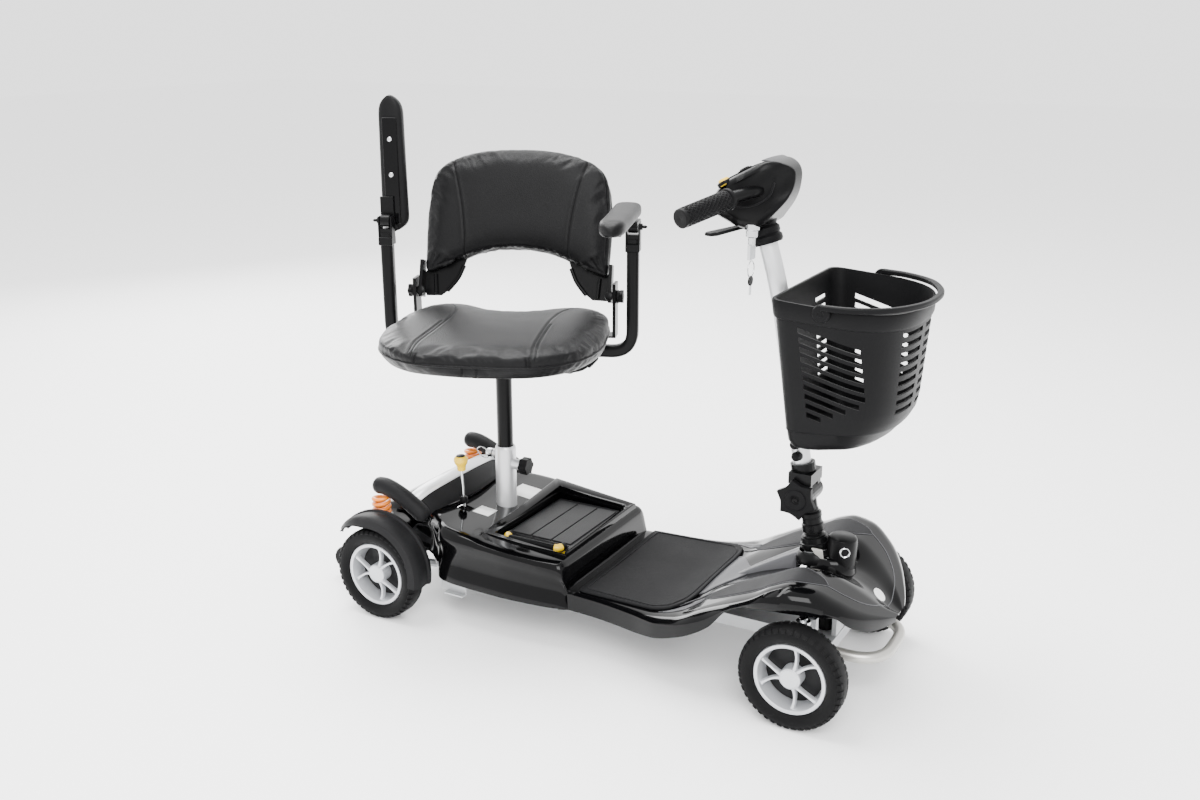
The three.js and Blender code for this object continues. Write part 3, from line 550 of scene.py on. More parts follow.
# ------------------------------------------------------------------ body shells
def value(table, x):
    """Smooth value at x from a short table of (x, value) rows, without overshoot."""
    xs, ys = [row[0] for row in table], [row[1] for row in table]
    slopes = [(ys[k + 1] - ys[k]) / (xs[k + 1] - xs[k]) for k in range(len(xs) - 1)]
    lean = [slopes[0]]
    for a, b in zip(slopes, slopes[1:]):
        lean.append(0.0 if a * b <= 0 else 2 * a * b / (a + b))
    lean.append(slopes[-1])
    i = max(0, min(len(xs) - 2, int(np.searchsorted(xs, x)) - 1))
    h = xs[i + 1] - xs[i]
    t = min(1.0, max(0.0, (x - xs[i]) / h))
    rise = ys[i] * (1 + 2 * t) * (1 - t) ** 2 + ys[i + 1] * t * t * (3 - 2 * t)
    return rise + h * (lean[i] * t * (1 - t) ** 2 + lean[i + 1] * t * t * (t - 1))


DECK = {
    "half": [(384, 159), (450, 164), (520, 176), (575, 190), (640, 198), (712, 197), (790, 190), (840, 176),
             (880, 148), (905, 112), (922, 72), (931, 44), (935, 26)],
    "floor": [(384, 120), (540, 120.5), (580, 127), (615, 142), (645, 150), (700, 174), (745, 190),
              (788, 200), (830, 201), (862, 196), (885, 185), (905, 168), (920, 153), (935, 146)],
    "hump": [(384, 121), (540, 123), (604, 136), (650, 160), (700, 186), (740, 205), (770, 222), (800, 232),
             (832, 229), (870, 208), (892, 190), (917, 167), (930, 154), (935, 148)],
    "rim": [(384, 116), (560, 118), (604, 126), (660, 148), (712, 184), (770, 205), (820, 206), (868, 192),
            (900, 172), (920, 154), (935, 146)],
    "bottom": [(384, 84), (520, 84), (560, 88), (620, 108), (670, 138), (708, 180), (735, 191), (800, 193),
               (868, 188), (893, 164), (915, 146), (935, 140)],
}


def front_section(x, count=61):
    """Points of the front shell's skin at x, from the right skirt over the top to the left skirt."""
    half, floor, hump, rim, low = (value(DECK[k], x) for k in ("half", "floor", "hump", "rim", "bottom"))
    points = []
    for k in range(count):
        v = -1 + 2 * k / (count - 1)
        a = abs(v)
        if a > 0.94:
            f = (a - 0.94) / 0.06
            z = rim + (low - rim) * f
            y = half * (1 - 0.02 * f)
        elif a > 0.84:
            f = (a - 0.84) / 0.10
            z = hump - (hump - rim) * f**1.7
            y = half * (0.86 + 0.14 * math.sin(f * math.pi / 2))
        else:
            f = a / 0.84
            y = half * 0.86 * f
            rise = min(1.0, max(0.0, (f - 0.1) / 0.42))
            z = floor + (hump - floor) * (0.8 * rise * rise * (3 - 2 * rise) + 0.2 * f)
        points.append((x, math.copysign(y, v) if a > 1e-9 else 0.0, z))
    return points


def skin_z(x, y):
    """Height of the front shell's top at a point of the plan."""
    section = [p for p in front_section(x, 121) if p[1] >= -0.01][:58]
    return float(np.interp(abs(y), [p[1] for p in section], [p[2] for p in section]))


REAR = {
    "half": [(-80, 96), (-60, 116), (0, 124), (60, 128), (92, 148), (120, 176), (160, 180), (240, 180),
             (320, 174), (372, 164), (383, 158)],
    "top": [(-80, 160), (-60, 182), (-20, 196), (40, 198), (80, 196), (120, 190), (190, 183), (206, 180),
            (300, 173), (364, 169), (372, 164), (382, 124), (383, 121)],
    "rim": [(-80, 150), (0, 176), (60, 176), (104, 164), (140, 166), (200, 166), (300, 160), (358, 152),
            (370, 146), (382, 120), (383, 118)],
    "bottom": [(-80, 122), (0, 120), (60, 116), (100, 100), (128, 90), (200, 87), (383, 85)],
}


def rear_section(x, count=61):
    """Points of the rear shell's skin at x: flat top, rounded shoulder and scooped side with a bottom lip."""
    half, top, rim, low = (value(REAR[k], x) for k in ("half", "top", "rim", "bottom"))
    points = []
    for k in range(count):
        v = -1 + 2 * k / (count - 1)
        a = abs(v)
        if a > 0.72:
            f = (a - 0.72) / 0.28
            y = half * (0.975 - 0.05 * math.sin(math.pi * min(1, f * 1.15)) + 0.025 * f)
            z = rim + (low - rim) * f
        elif a > 0.55:
            f = (a - 0.55) / 0.17
            y = half * (0.87 + 0.105 * math.sin(f * math.pi / 2))
            z = top - (top - rim) * (1 - math.cos(f * math.pi / 2))
        else:
            y = half * 0.87 * a / 0.55
            z = top
        points.append((x, math.copysign(y, v) if a > 1e-9 else 0.0, z))
    return points


BATTERY_LOW, BATTERY_HIGH = (206, -116, 84.6), (348, 116, 169)


def stem_hole(radius):
    """A cutter along the leaning stem."""
    return cutter_of(turned([(0, -60), (radius, -60), (radius, 60), (0, 60)], (782, 0, 220), STEM_LEAN, 32))


def shells():
    stations = [*np.linspace(-80, 355, 72), *np.linspace(359, 383, 13)]
    rear = loft([rear_section(x) for x in stations], closed=False)
    cuts = [
        cutter_of(block((205, -117, 60), (349, 117, 300))),
        cutter_of(turned([(0, 60), (20.4, 60), (20.4, 300), (0, 300)], (SEAT_X, 0, 0), (0, 0, 1), 32)),
        cutter_of(block((90, -80, 60), (120, -58, 300))),
    ]
    piece("rear_shell", rear, "gloss_black", "chassis", "rear_body", wall=3, cuts=cuts, smooth=32)
    front = loft([front_section(x) for x in np.linspace(384.5, 935, 110)], closed=False)
    hole = stem_hole(29)
    piece("front_shell", front, "gloss_black", "chassis", "front_body", wall=3, cuts=[hole], smooth=32)


def shell_joint():
    """The dark strip behind the seam between the two shells."""
    rings = []
    for x in (366, 376, 381, 388, 396, 404):
        section = rear_section(min(x, 383), 31) if x < 384 else front_section(x, 31)
        rings.append([(x, p[1] * 0.97, p[2] - 3.4) for p in section])
    rings[0] = [(366, p[1], rings[2][i][2]) for i, p in enumerate(rings[0])]
    rings[1] = [(376, p[1], rings[2][i][2]) for i, p in enumerate(rings[1])]
    piece("shell_joint", loft(rings, closed=False), "charcoal", "chassis", wall=1.6)


def surface_strip(outline, lift, across=9):
    """A thin leaf lying on the front shell: (x, one y, other y) rows give its width along the shell."""
    rows = []
    for x, y0, y1 in outline:
        rows.append([(x, y, skin_z(x, y) + lift) for y in np.linspace(y0, y1, across)])
    return loft(rows, closed=False)


def skin_line(points, lift, radius, count=40):
    """A thin bead that follows plan points over the front shell."""
    path = [(p.x, p.y, skin_z(p.x, p.y) + lift) for p in spline([(x, y, 0) for x, y in points], count)]
    return tube(path, radius, 8)


def floor_mat():
    """The ribbed mat, its raised border and the fine groove lines beside it."""
    edge = [(404, 148), (410, 150), (470, 152), (556, 156), (580, 149), (598, 128), (604, 106), (606, 92)]
    rows = []
    for x in [*np.linspace(404, 560, 14), *np.linspace(566, 606, 11)]:
        half = float(np.interp(x, [p[0] for p in edge], [p[1] for p in edge]))
        rows.append((x, -half, half))
    mat_top = surface_strip(rows, 4.6, across=41)
    piece("mat", mat_top, "deck_rubber", "chassis", "floor_mat", wall=4, smooth=40)
    half = [(414, 141), (552, 147), (578, 138), (594, 112), (597, 84)]
    corners = [(414, 60), *half, *[(x, -y) for x, y in reversed(half)], (414, -60)]
    path = [(p.x, p.y, skin_z(p.x, p.y) + 4.8) for p in rounded([(x, y, 0) for x, y in corners], 8, 4)]
    piece("mat_border", tube(path, 1.3, 8, closed=True), "deck_rubber", "chassis")


def deck_trim():
    """The arrow-shaped ridge, the rib up to the stem, the leaf inlays and the covers round the stem."""
    arrow = [(608, -88, 88), (616, -84, 84), (628, -68, 68), (640, -50, 50), (652, -30, 30), (664, -15, 15)]
    piece("deck_arrow", surface_strip(arrow, 1.9, 17), "ridge_grey", "chassis", wall=2.4)
    rings = []
    for t in np.linspace(0, 1, 16):
        x = 640 + 116 * t
        top = 149 + 76 * t**0.92
        wide = 11 + 7 * t
        low = skin_z(x, 0) - 4
        crown = max(top, low + 2)
        rings.append([(x, -wide, low), (x, -wide, crown - 7), (x, -wide * 0.7, crown - 2), (x, 0, crown),
                      (x, wide * 0.7, crown - 2), (x, wide, crown - 7), (x, wide, low)])
    piece("stem_rib", loft(rings), "ridge_grey", "chassis", smooth=50)
    lines = []
    for side, s in SIDES:
        leaf = []
        for t in np.linspace(0, 1, 26):
            x = 630 + 216 * t
            width = 82 * math.sin(math.pi * min(0.999, max(0.001, t))) ** 0.62
            centre = 116 - 4 * math.sin(math.pi * t)
            leaf.append((x, s * (centre - width / 2), s * (centre + width / 2)))
        piece(f"hump_inlay_{side}", surface_strip(leaf, 0.8), "leaf_inlay", "chassis", wall=1.2)
        inner = [(x, a) for x, a, _ in leaf]
        outer = [(x, b) for x, _, b in leaf]
        lines.append(skin_line([(560, s * 153), (588, s * 140), (608, s * 116), *inner[2:]], 0.5, 0.8))
        lines.append(skin_line([(566, s * 160), (600, s * 150), *outer[1:]], 0.4, 0.7))
        tongue = [(575, 158, 162), (592, 148, 160), (612, 132, 152), (634, 118, 134)]
        strip = surface_strip([(x, s * a, s * b) for x, a, b in tongue], 0.9, 5)
        piece(f"deck_tongue_{side}", strip, "ridge_grey", "chassis", wall=1.2)
    piece("deck_lines", merge(*lines), "ridge_grey", "chassis")
    dome = [(0, 22), (22, 21), (29, 18), (33, 11), (35, 2), (37, -8), (38, -30), (0, -30)]
    stretch = Matrix.Translation((810, 0, 207)) @ Matrix.Scale(1.22, 4, (1, 0, 0))
    hole = stem_hole(25.5)
    cover = moved(turned(list(reversed(dome)), (0, 0, 0), (0, 0, 1), 44), stretch)
    piece("stem_cover", cover, "gloss_black", "chassis", cuts=[hole], smooth=50, bevel=1)
    tower = [(0, -62), (26, -62), (25, -10), (23.4, -3.6), (19, -0.6), (0, 0)]
    piece("port_tower", turned(tower, (830, 0, 263), (0.05, 0, 1), 40), "console_black", "chassis", bevel=1)
    axis = Vector((0.43, -0.88, 0.12)).normalized()
    shape = [(5.6, -6), (9, -6), (9, 1.5), (7.6, 2.4), (6.2, 1.6), (5.6, 0), (5.6, -6)]
    piece("port_ring", turned(shape, PORT_AT, axis, 28), "plated_steel", "chassis")
    plug = [(0, -6), (5.4, -6), (5.4, -1), (3, -0.4), (0, -1)]
    piece("port_plug", turned(plug, PORT_AT, axis, 28), "soft_black", "chassis")
    blank = [(0, -1), (12.4, -1), (12.4, 0.6), (11.6, 1.1), (0, 1.1)]
    tilt = Vector((skin_z(894, 8) - skin_z(906, 8), 0, 12)).normalized()
    piece("nose_disc", turned(blank, (900, -8, skin_z(900, -8) + 0.4), tilt, 36), "label_white", "chassis")
    nose = [(846, -118), (872, -104), (893, -82), (908, -52), (915, -20), (916, 0)]
    beads = [skin_line([(x, s * -y) for x, y in nose], 0.2, 0.9) for s in (1, -1)]
    piece("nose_crease", merge(*beads), "ridge_grey", "chassis")


def stem_saddle():
    """The dark seat round the stem and the pale casting's two tapering legs."""
    ring = [(25.8, -18), (35, -18), (35, -9), (29, 1), (27, 2.4), (25.8, 2.4), (25.8, -18)]
    plate = turned(ring, (782, 0, 228), STEM_LEAN, 40)
    legs = []
    for s in (-1, 1):
        rings = []
        for t in np.linspace(0, 1, 6):
            x, y, z = 794 + 16 * t, s * (23 + 4 * t), 240 - 36 * t
            wide = 10 - 7 * t**0.7
            outer = y + s * 3.4
            low = z - 1
            rings.append([(x - wide, y, z), (x + wide, y, z), (x + wide, outer, low), (x - wide, outer, low)])
        legs.append(loft(rings))
    piece("stem_seat", plate, "black_metal", "chassis", bevel=0.8)
    piece("stem_saddle", merge(*legs), "bumper_silver", "chassis", bevel=0.8)


shells()
shell_joint()
floor_mat()
deck_trim()
stem_saddle()


# ------------------------------------------------------------------ battery, seat mast and controls near it
def battery():
    """The drop-in pack: top panels, a low tray for its loop handle, and the raised surround on the body."""
    low, high = BATTERY_LOW, BATTERY_HIGH
    case = block(low, (high[0], high[1], high[2] - 2))
    tray = cutter_of(block((low[0] + 6, low[1] - 2, high[2] - 16), (high[0] - 6, low[1] + 36, high[2] + 4)))
    piece("battery_case", case, "battery_case", "battery", "battery_pack", cuts=[tray], bevel=3)
    panels = []
    for x0, x1 in ((214, 256), (258, 300), (302, 342)):
        panels.append(block((x0, low[1] + 42, high[2] - 3), (x1, high[1] - 14, high[2] + 0.4)))
    piece("battery_panels", merge(*panels), "battery_case", "battery", bevel=1.6)
    handle_low, handle_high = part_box("battery_handle")
    x0, x1 = handle_low.x / MM + FOOTPRINT_MIDDLE.x + 6.5, handle_high.x / MM + FOOTPRINT_MIDDLE.x - 6.5
    y0 = handle_low.y / MM + FOOTPRINT_MIDDLE.y + 6.5
    z = 169
    path = rounded([(x0, y0 + 18, z), (x0, y0, z), (x1, y0, z), (x1, y0 + 18, z)], 12, 8)
    piece("battery_grip", tube(path, 6.4, 18), "soft_black", "battery_bail", "battery_handle")
    bands = [tube(path[2:9], 7.2, 18), tube(path[11:18], 7.2, 18)]
    piece("battery_grip_bands", merge(*bands), "knob_yellow", "battery_bail", bevel=0.8)
    corners = [((203, 121), (180, 146), 196), ((276, 121), (276, 142), 187), ((351, 121), (366, 138), 179),
               ((351, 0), (366, 0), 178), ((351, -121), (366, -132), 177), ((276, -121), (276, -134), 178),
               ((203, -121), (186, -134), 183), ((203, 0), (186, 0), 188)]
    count = 64
    rings = []
    for k in range(count + 1):
        k %= count
        t = len(corners) * k / count
        i, f = int(t), t - int(t)
        (a, b, h0), (c, d, h1) = corners[i], corners[(i + 1) % len(corners)]
        p, q = Vector((*a, 0)).lerp(Vector((*c, 0)), f), Vector((*b, 0)).lerp(Vector((*d, 0)), f)
        top = h0 + (h1 - h0) * f
        rings.append([(p.x, p.y, 162), (p.x, p.y, top - 5), (*p.lerp(q, 0.12).xy, top - 3.6),
                      (*p.lerp(q, 0.8).xy, top), (*p.lerp(q, 0.96).xy, top - 1.2), (q.x, q.y, top - 5),
                      (q.x, q.y, 160)])
    piece("battery_surround", loft(rings, caps=False), "gloss_black", "chassis", smooth=40)


def mast():
    profile = [(16, 85), (20, 85), (20, 300), (19, 305), (17.5, 307), (16, 307), (16, 85)]
    socket = turned(profile, (SEAT_X, 0, 0), (0, 0, 1), 40)
    boss = turned([(0, 14), (10, 14), (10, 34), (9, 36), (0, 36)], (SEAT_X, 0, CLAMP_Z), (1, 0, 0), 24)
    pin_at, backwards = (SEAT_X, 0, PIN_Z), (-1, 0, 0)
    pin_boss = turned([(0, 14), (8, 14), (8, 27), (7, 28), (0, 28)], pin_at, backwards, 24)
    piece("mast_socket", merge(socket, boss, pin_boss), "satin_silver", "chassis", "seat_socket")
    low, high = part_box("seat_post")
    post = [(0, low.z / MM), (15.2, low.z / MM), (15.2, high.z / MM), (0, high.z / MM)]
    piece("mast_post", turned(post, (SEAT_X, 0, 0), (0, 0, 1), 40), "black_metal", "post", "seat_post")
    knob = prism(disc_outline(17, 48, 6, 0.16), 0, 17, (SEAT_X + 36.4, 0, CLAMP_Z), (1, 0, 0), (0, 0, 1))
    piece("clamp_knob", knob, "soft_black", "clamp_knob", "post_clamp_knob", bevel=2)
    angles = np.linspace(0, 2 * math.pi, 40, False)
    ring_path = [(SEAT_X - 52 + 13 * math.cos(a), -5 * math.sin(a), 283 + 12.4 * math.sin(a)) for a in angles]
    head = turned([(0, 29), (8.6, 29), (8.6, 38), (6, 42), (3, 44), (0, 44)], pin_at, backwards, 24)
    shaft = turned([(0, 17.6), (3.8, 17.6), (3.8, 30), (0, 30)], pin_at, backwards, 16)
    pin = merge(head, shaft, tube(ring_path, 1.1, 8, closed=True))
    piece("lock_pin", pin, "plated_steel", "lock_pin", "post_lock_pin")


def freewheel():
    """The thin lever with its yellow knob, and the dark boss and lined slot that it comes out of."""
    (west, east), (south, north) = [(at - reach, at + reach) for at, reach in ((LEVER_X, 16), (LEVER_Y, 12))]
    liner = [[(west, south, z), (east, south, z), (east, north, z), (west, north, z)] for z in (150, 190)]
    piece("freewheel_slot", loft(liner, caps=False), "soft_black", "chassis", wall=1)
    foot = (LEVER_X, LEVER_Y, 176)
    rod = tube([foot, (99.4, LEVER_Y, 284)], 2.6, 14)
    hub = turned([(0, -8), (8, -8), (8, 8), (0, 8)], foot, (0, 1, 0), 24)
    piece("freewheel_rod", merge(rod, hub), "plated_steel", "freewheel", "freewheel_lever")
    lean = (-0.05, 0, 1)
    collar = [(3, 0), (7, 0), (7.6, 2), (7.6, 9), (5.6, 12), (3, 12), (3, 0)]
    piece("freewheel_collar", turned(collar, (103.6, LEVER_Y, 203), lean, 24), "soft_black", "freewheel")
    profile = [(0, 0), (7.6, 0), (8.4, 4), (8.8, 9), (12, 14), (13.8, 19), (13.2, 24), (10, 28), (0, 28)]
    piece("freewheel_knob", turned(profile, (100.3, LEVER_Y, 268), lean, 28), "knob_yellow", "freewheel")
    cap = [(0, 0), (8.6, 0), (8.4, 1.4), (5, 2.6), (0, 3)]
    piece("freewheel_cap", turned(cap, (98.9, LEVER_Y, 296.2), lean, 28), "soft_black", "freewheel")


def labels():
    """Plain white labels on the rear shell, either side of the mast."""
    for name, x0, x1, y0, y1 in (("near", 124, 160, -72, -40), ("far", 130, 186, 44, 96)):
        rows = [[(x, y, value(REAR["top"], x) + 0.5) for y in (y0, y1)] for x in np.linspace(x0, x1, 8)]
        piece(f"label_{name}", loft(rows, closed=False), "label_white", "chassis", wall=0.4)


def low_brackets():
    """A pale plate bracket under each side of the rear shell."""
    for side, s in SIDES:
        plate = block((102, min(s * 146, s * 149), 56), (158, max(s * 146, s * 149), 92))
        foot = block((116, min(s * 146, s * 162), 54), (158, max(s * 146, s * 162), 57))
        piece(f"low_bracket_{side}", merge(plate, foot), "frame_grey", "chassis", bevel=0.6)


battery()
mast()
freewheel()
labels()
low_brackets()


# ------------------------------------------------------------------ frame, bumper and steering
def bumper():
    path = rounded([(836, 78, 88), (929, 78, 86), (929, -78, 86), (836, -78, 88)], 62, 14)
    piece("bumper_tube", tube(path, 10, 20), "bumper_silver", "chassis", "bumper_loop")


bumper()
keep_cad("frame_grey", "frame", bevel=1.2)
keep_cad("black_metal", "transaxle", "steering_stem", "knuckle_left", "knuckle_right", bevel=1)
keep_cad("plated_steel", "kingpin_left", "kingpin_right", "tie_rod", "ignition_key", bevel=0.6)
keep_cad("soft_black", "anti_tip_wheel_left", "anti_tip_wheel_right", bevel=1.2)
STEM = Vector((-math.sin(math.radians(11)), 0, math.cos(math.radians(11))))


def stem_point(z):
    return Vector((781 - (z - 243) * math.tan(math.radians(11)), 0, z))


def steering_collars():
    neck = [(0, 0), (23, 0), (24.5, 3), (24.5, 11), (21, 14), (19.5, 16), (19.5, 24), (17, 26), (0, 26)]
    piece("stem_collar", turned(neck, stem_point(231), STEM, 40), "black_metal", "steering")
    steps = [(0, 0), (17.6, 0), (18.6, 1.4), (18.6, 13), (17.4, 14.4), (16.6, 15), (16.6, 24), (17.8, 25.4)]
    steps += [(17.8, 33), (16.6, 34.4), (0, 34.4)]
    piece("stem_ribs", turned(steps, stem_point(261), STEM, 40), "black_metal", "steering")
    heads = [screw(stem_point(269) + Vector((4, s * 18, 0)), (0.1, s, 0), 4.4) for s in (1, -1)]
    piece("stem_screws", merge(*heads), "soft_black", "steering")


def lobed_outline(radius, lobes, count=144):
    """An outline with concave scallops between pointed tips."""
    out = []
    for k in range(count):
        a = 2 * math.pi * k / count
        r = radius * (1 - 0.24 * abs(math.sin(lobes * a / 2)) ** 0.8)
        out.append((r * math.cos(a), r * math.sin(a)))
    return out


def lock_disc():
    """The large scalloped knob with its centre screw."""
    outwards = (0, -1, 0)
    rim = prism(lobed_outline(36, 6), 0, 10, DISC_AT, outwards, (0.3, 0, 0.95))
    dish = [(0, 9), (19, 9), (18, 12.4), (11, 13.4), (7, 12), (6.6, 9.6), (0, 9.6)]
    boss = turned(dish, DISC_AT, outwards, 40)
    piece("lock_disc", merge(rim, boss), "soft_black", "fold_lock", "fold_lock_knob", bevel=1.6)
    centre = (DISC_AT[0], DISC_AT[1] - 9.8, DISC_AT[2])
    piece("lock_disc_screw", screw(centre, outwards, 5), "black_metal", "fold_lock")


steering_collars()
lock_disc()


# ------------------------------------------------------------------ tiller
def knuckle():
    keep_cad("black_metal", "fold_knuckle", bevel=2)
    cap = [(0, 0), (16, 0), (16.4, 3), (14, 5), (5, 5), (4.4, 3.6), (0, 3.6)]
    pivots = [turned(cap, (764, s * 27, 328), (0, s, 0), 32) for _, s in SIDES]
    piece("pivot_caps", merge(*pivots), "black_metal", "tiller")


def tiller():
    path = rounded([(755.6, 0, 356), (697, 0, 676), (669, 0, 760)], 60, 12)
    piece("tiller_column", tube(path, 15.5, 32), "satin_silver", "tiller", "tiller_tube")
    boss = [(0, 0), (7.5, 0), (8, 2), (8, 12), (6.6, 15), (4, 16.4), (0, 16.6)]
    bosses = []
    for z in (394, 414):
        for _, s in SIDES:
            bosses.append(turned(boss, (750 - (z - 394) * 0.18, s * 13.5, z), (-0.15, s, 0.18), 24))
    piece("tiller_bosses", merge(*bosses), "soft_black", "tiller")
    hanger = merge(block((716, -9, 560), (738, 9, 584)), block((731, -38, 545), (739.5, 38, 600)))
    piece("basket_hanger", hanger, "soft_black", "tiller", bevel=2)
    boot = [(16, 0), (23, 0), (25.5, 4), (25.5, 11), (22.5, 14.5), (24.5, 18), (24.5, 25), (21, 29), (24, 36)]
    boot += [(16, 38), (16, 0)]
    piece("console_boot", turned(boot, (676, 0, 742), (-0.32, 0, 0.95), 36), "soft_black", "tiller")


CONSOLE = [(588, 796), (594, 818), (614, 842), (650, 862), (681, 877), (706, 874), (721, 862), (721, 838),
           (712, 816), (692, 790), (676, 774), (650, 771), (624, 779)]


HORN_SEAT, DIAL_SEAT = (616, -40, 836), (624, 36, 838)
CONSOLE_UP = Vector((-0.51, 0, 0.86)).normalized()


def console():
    """The wedge housing with its top panel, a grey cap on the front end whose grey is a painted reflection,
    side trim and underside.
    """
    outline = [(p.x, p.y) for p in spline([(x, z, 0) for x, z in CONSOLE], 60, closed=True)]
    middle = Vector((668, 0, 822))
    rings = []
    for v in np.linspace(-1, 1, 21):
        shrink = 1 - 0.26 * max(0, (abs(v) - 0.74) / 0.26) ** 2.4
        ring = []
        for x, z in outline:
            wide = value([(588, 44), (612, 52), (645, 58), (675, 56), (698, 44), (722, 20)], x)
            q = middle + (Vector((x, 0, z)) - middle) * shrink
            ring.append((q.x, wide * v, q.z))
        rings.append(ring)
    well = [(0, -8), (9.7, -8), (9.7, 30), (0, 30)]
    wells = [cutter_of(turned(well, HORN_SEAT, CONSOLE_UP, 32)) for _ in range(2)]
    housing = loft(rings)
    piece("console_shell", housing, "console_black", "tiller", "console_housing", smooth=50, cuts=wells[:1])
    panel = []
    for t in np.linspace(0, 1, 12):
        x = 603 + 62 * t
        z = value([(603, 833), (614, 843.5), (650, 863.5), (668, 872.5)], x)
        panel.append([(x, y, z + 1.5 * (1 - (y / 52) ** 2)) for y in np.linspace(-42, 42, 15)])
    piece("console_panel", loft(panel, closed=False), "soft_black", "tiller", wall=1.6, cuts=wells[1:])
    cap = []
    for t in np.linspace(0, 1, 9):
        x = 676 + 40 * t
        z = 879 - 13 * t**1.8
        cap.append([(x, y * (1 - 0.55 * t), z + 1.6 * (1 - (y / 50) ** 2)) for y in np.linspace(-44, 44, 15)])
    # a thin sheet over the housing's front end, coloured grey as a painted reflection of the gloss black
    piece("painted_reflection_cap", loft(cap, closed=False), "painted_reflection_grey", "tiller", wall=2, bevel=0.6)
    trims = []
    for _, s in SIDES:
        side = [(622, 55, 806), (650, 58.4, 806), (676, 57.4, 812), (694, 50, 826), (700, 47, 846)]
        trims.append(tube(spline([(x, s * y, z) for x, y, z in side], 30), 1.6, 8))
    piece("console_trim", merge(*trims), "soft_black", "tiller")


def bars_and_grips():
    half = [(607, 178, 803), (645, 75, 824), (668, 40, 830)]
    points = [(x, -y, z) for x, y, z in half] + half[::-1]
    piece("handlebar_tube", tube(rounded(points, 14, 6), 10, 24), "black_metal", "tiller", "handlebar")
    for side, s in SIDES:
        inner, outer = Vector((645, s * 75, 824)), Vector((607, s * 178, 803))
        along = (outer - inner).normalized()
        start = inner + (outer - inner) * 0.1
        length = (outer - inner).length * 0.96
        profile = [(0, 0), (11, 0), (17.2, 0), (17.6, 2), (17.2, 5), (14.6, 6.5)]
        for k in range(int(length / 4) - 4):
            h = 8 + 4 * k
            profile += [(15.2, h), (15.2, h + 2), (14.5, h + 2.6), (14.5, h + 3.6)]
        profile += [(r, length + h) for r, h in ((15.4, -5), (15.4, -1.5), (14, 0), (5, 0.4), (0, -1))]
        sleeve = turned(profile, start, along, 40)
        piece(f"grip_sleeve_{side}", sleeve, "soft_black", "tiller", f"grip_{side}", smooth=25)
        flutes = []
        spin = Vector((0, 0, 1)).rotation_difference(along).to_matrix().to_4x4()
        to_grip = Matrix.Translation(start) @ spin
        for k in range(14):
            for hand in (1, -1):
                path = []
                for h in np.linspace(9, length - 7, 26):
                    a = 2 * math.pi * k / 14 + hand * h * 0.045
                    path.append(to_grip @ Vector((15.1 * math.cos(a), 15.1 * math.sin(a), h)))
                flutes.append(tube(path, 0.9, 5))
        piece(f"grip_lattice_{side}", merge(*flutes), "soft_black", "tiller", smooth=60)


def console_controls():
    half = [(640, 0), (638, 14), (628, 94), (620, 105), (608, 101), (607, 90), (622, 20), (622, 0)]
    outline = [(y, x) for x, y in half] + [(-y, x) for x, y in reversed(half[1:-1])]
    hub = turned([(0, 0), (8, 0), (8, 14), (0, 14)], (634, 0, 768), (0, 0, 1), 24)
    paddle = merge(prism(outline, 764, 769.5, axis=(0, 0, 1), up=(1, 0, 0)), hub)
    piece("paddle", paddle, "soft_black", "throttle", "throttle_lever", bevel=2)
    button = [(0, 1), (9, 1), (9, 9), (7.5, 11.4), (4, 12), (0, 12)]
    piece("button", turned(button, HORN_SEAT, CONSOLE_UP, 32), "knob_yellow", "horn", "horn_button")
    bezel = [(9.6, -2), (12.5, -2), (12.5, 2.4), (11.5, 3.4), (9.6, 3), (9.6, -2)]
    bezel_at = Vector(HORN_SEAT) + CONSOLE_UP * 4
    piece("button_bezel", turned(bezel, bezel_at, CONSOLE_UP, 32), "soft_black", "tiller")
    dial = merge(
        prism(disc_outline(12.6, 64, 16, 0.1), 5, 18, DIAL_SEAT, CONSOLE_UP, (0, 1, 0)),
        turned([(0, 17.5), (9, 17.5), (8, 19.8), (0, 20)], DIAL_SEAT, CONSOLE_UP, 32),
    )
    piece("dial", dial, "soft_black", "dial", "speed_dial", bevel=0.7)
    barrel = [(0, 0), (12.5, 0), (12.5, 9), (10, 10.5), (10, 20), (8.6, 21.5), (0, 21.5)]
    piece("key_switch", turned(barrel, (KEY_X, KEY_Y, 779), (0, 0, -1), 28), "plated_steel", "tiller")


def hanging_key():
    turns = [np.linspace(0, 2 * math.pi, count, False) for count in (40, 24)]
    ring = [(KEY_X, KEY_Y + 13 * math.sin(a), 706 + 13 * math.cos(a)) for a in turns[0]]
    oval = [(9 * math.sin(a), 8 * math.cos(a)) for a in turns[1]]
    bow = prism(oval, -1.2, 1.2, (KEY_X, KEY_Y, 687), (1, 0, 0), (0, 0, 1))
    blade = block((KEY_X - 1, KEY_Y - 3.5, 664), (KEY_X + 1, KEY_Y + 2.5, 682))
    loop = tube(ring, 1, 8, closed=True)
    piece("spare_key_set", merge(loop, blade), "plated_steel", "hanging_key", "spare_key", bevel=0.3)
    piece("spare_key_bow", bow, "soft_black", "hanging_key", bevel=0.5)


knuckle()
tiller()
console()
bars_and_grips()
console_controls()
hanging_key()


# ------------------------------------------------------------------ basket
BASKET_REAR, BASKET_FRONT = 738, 940


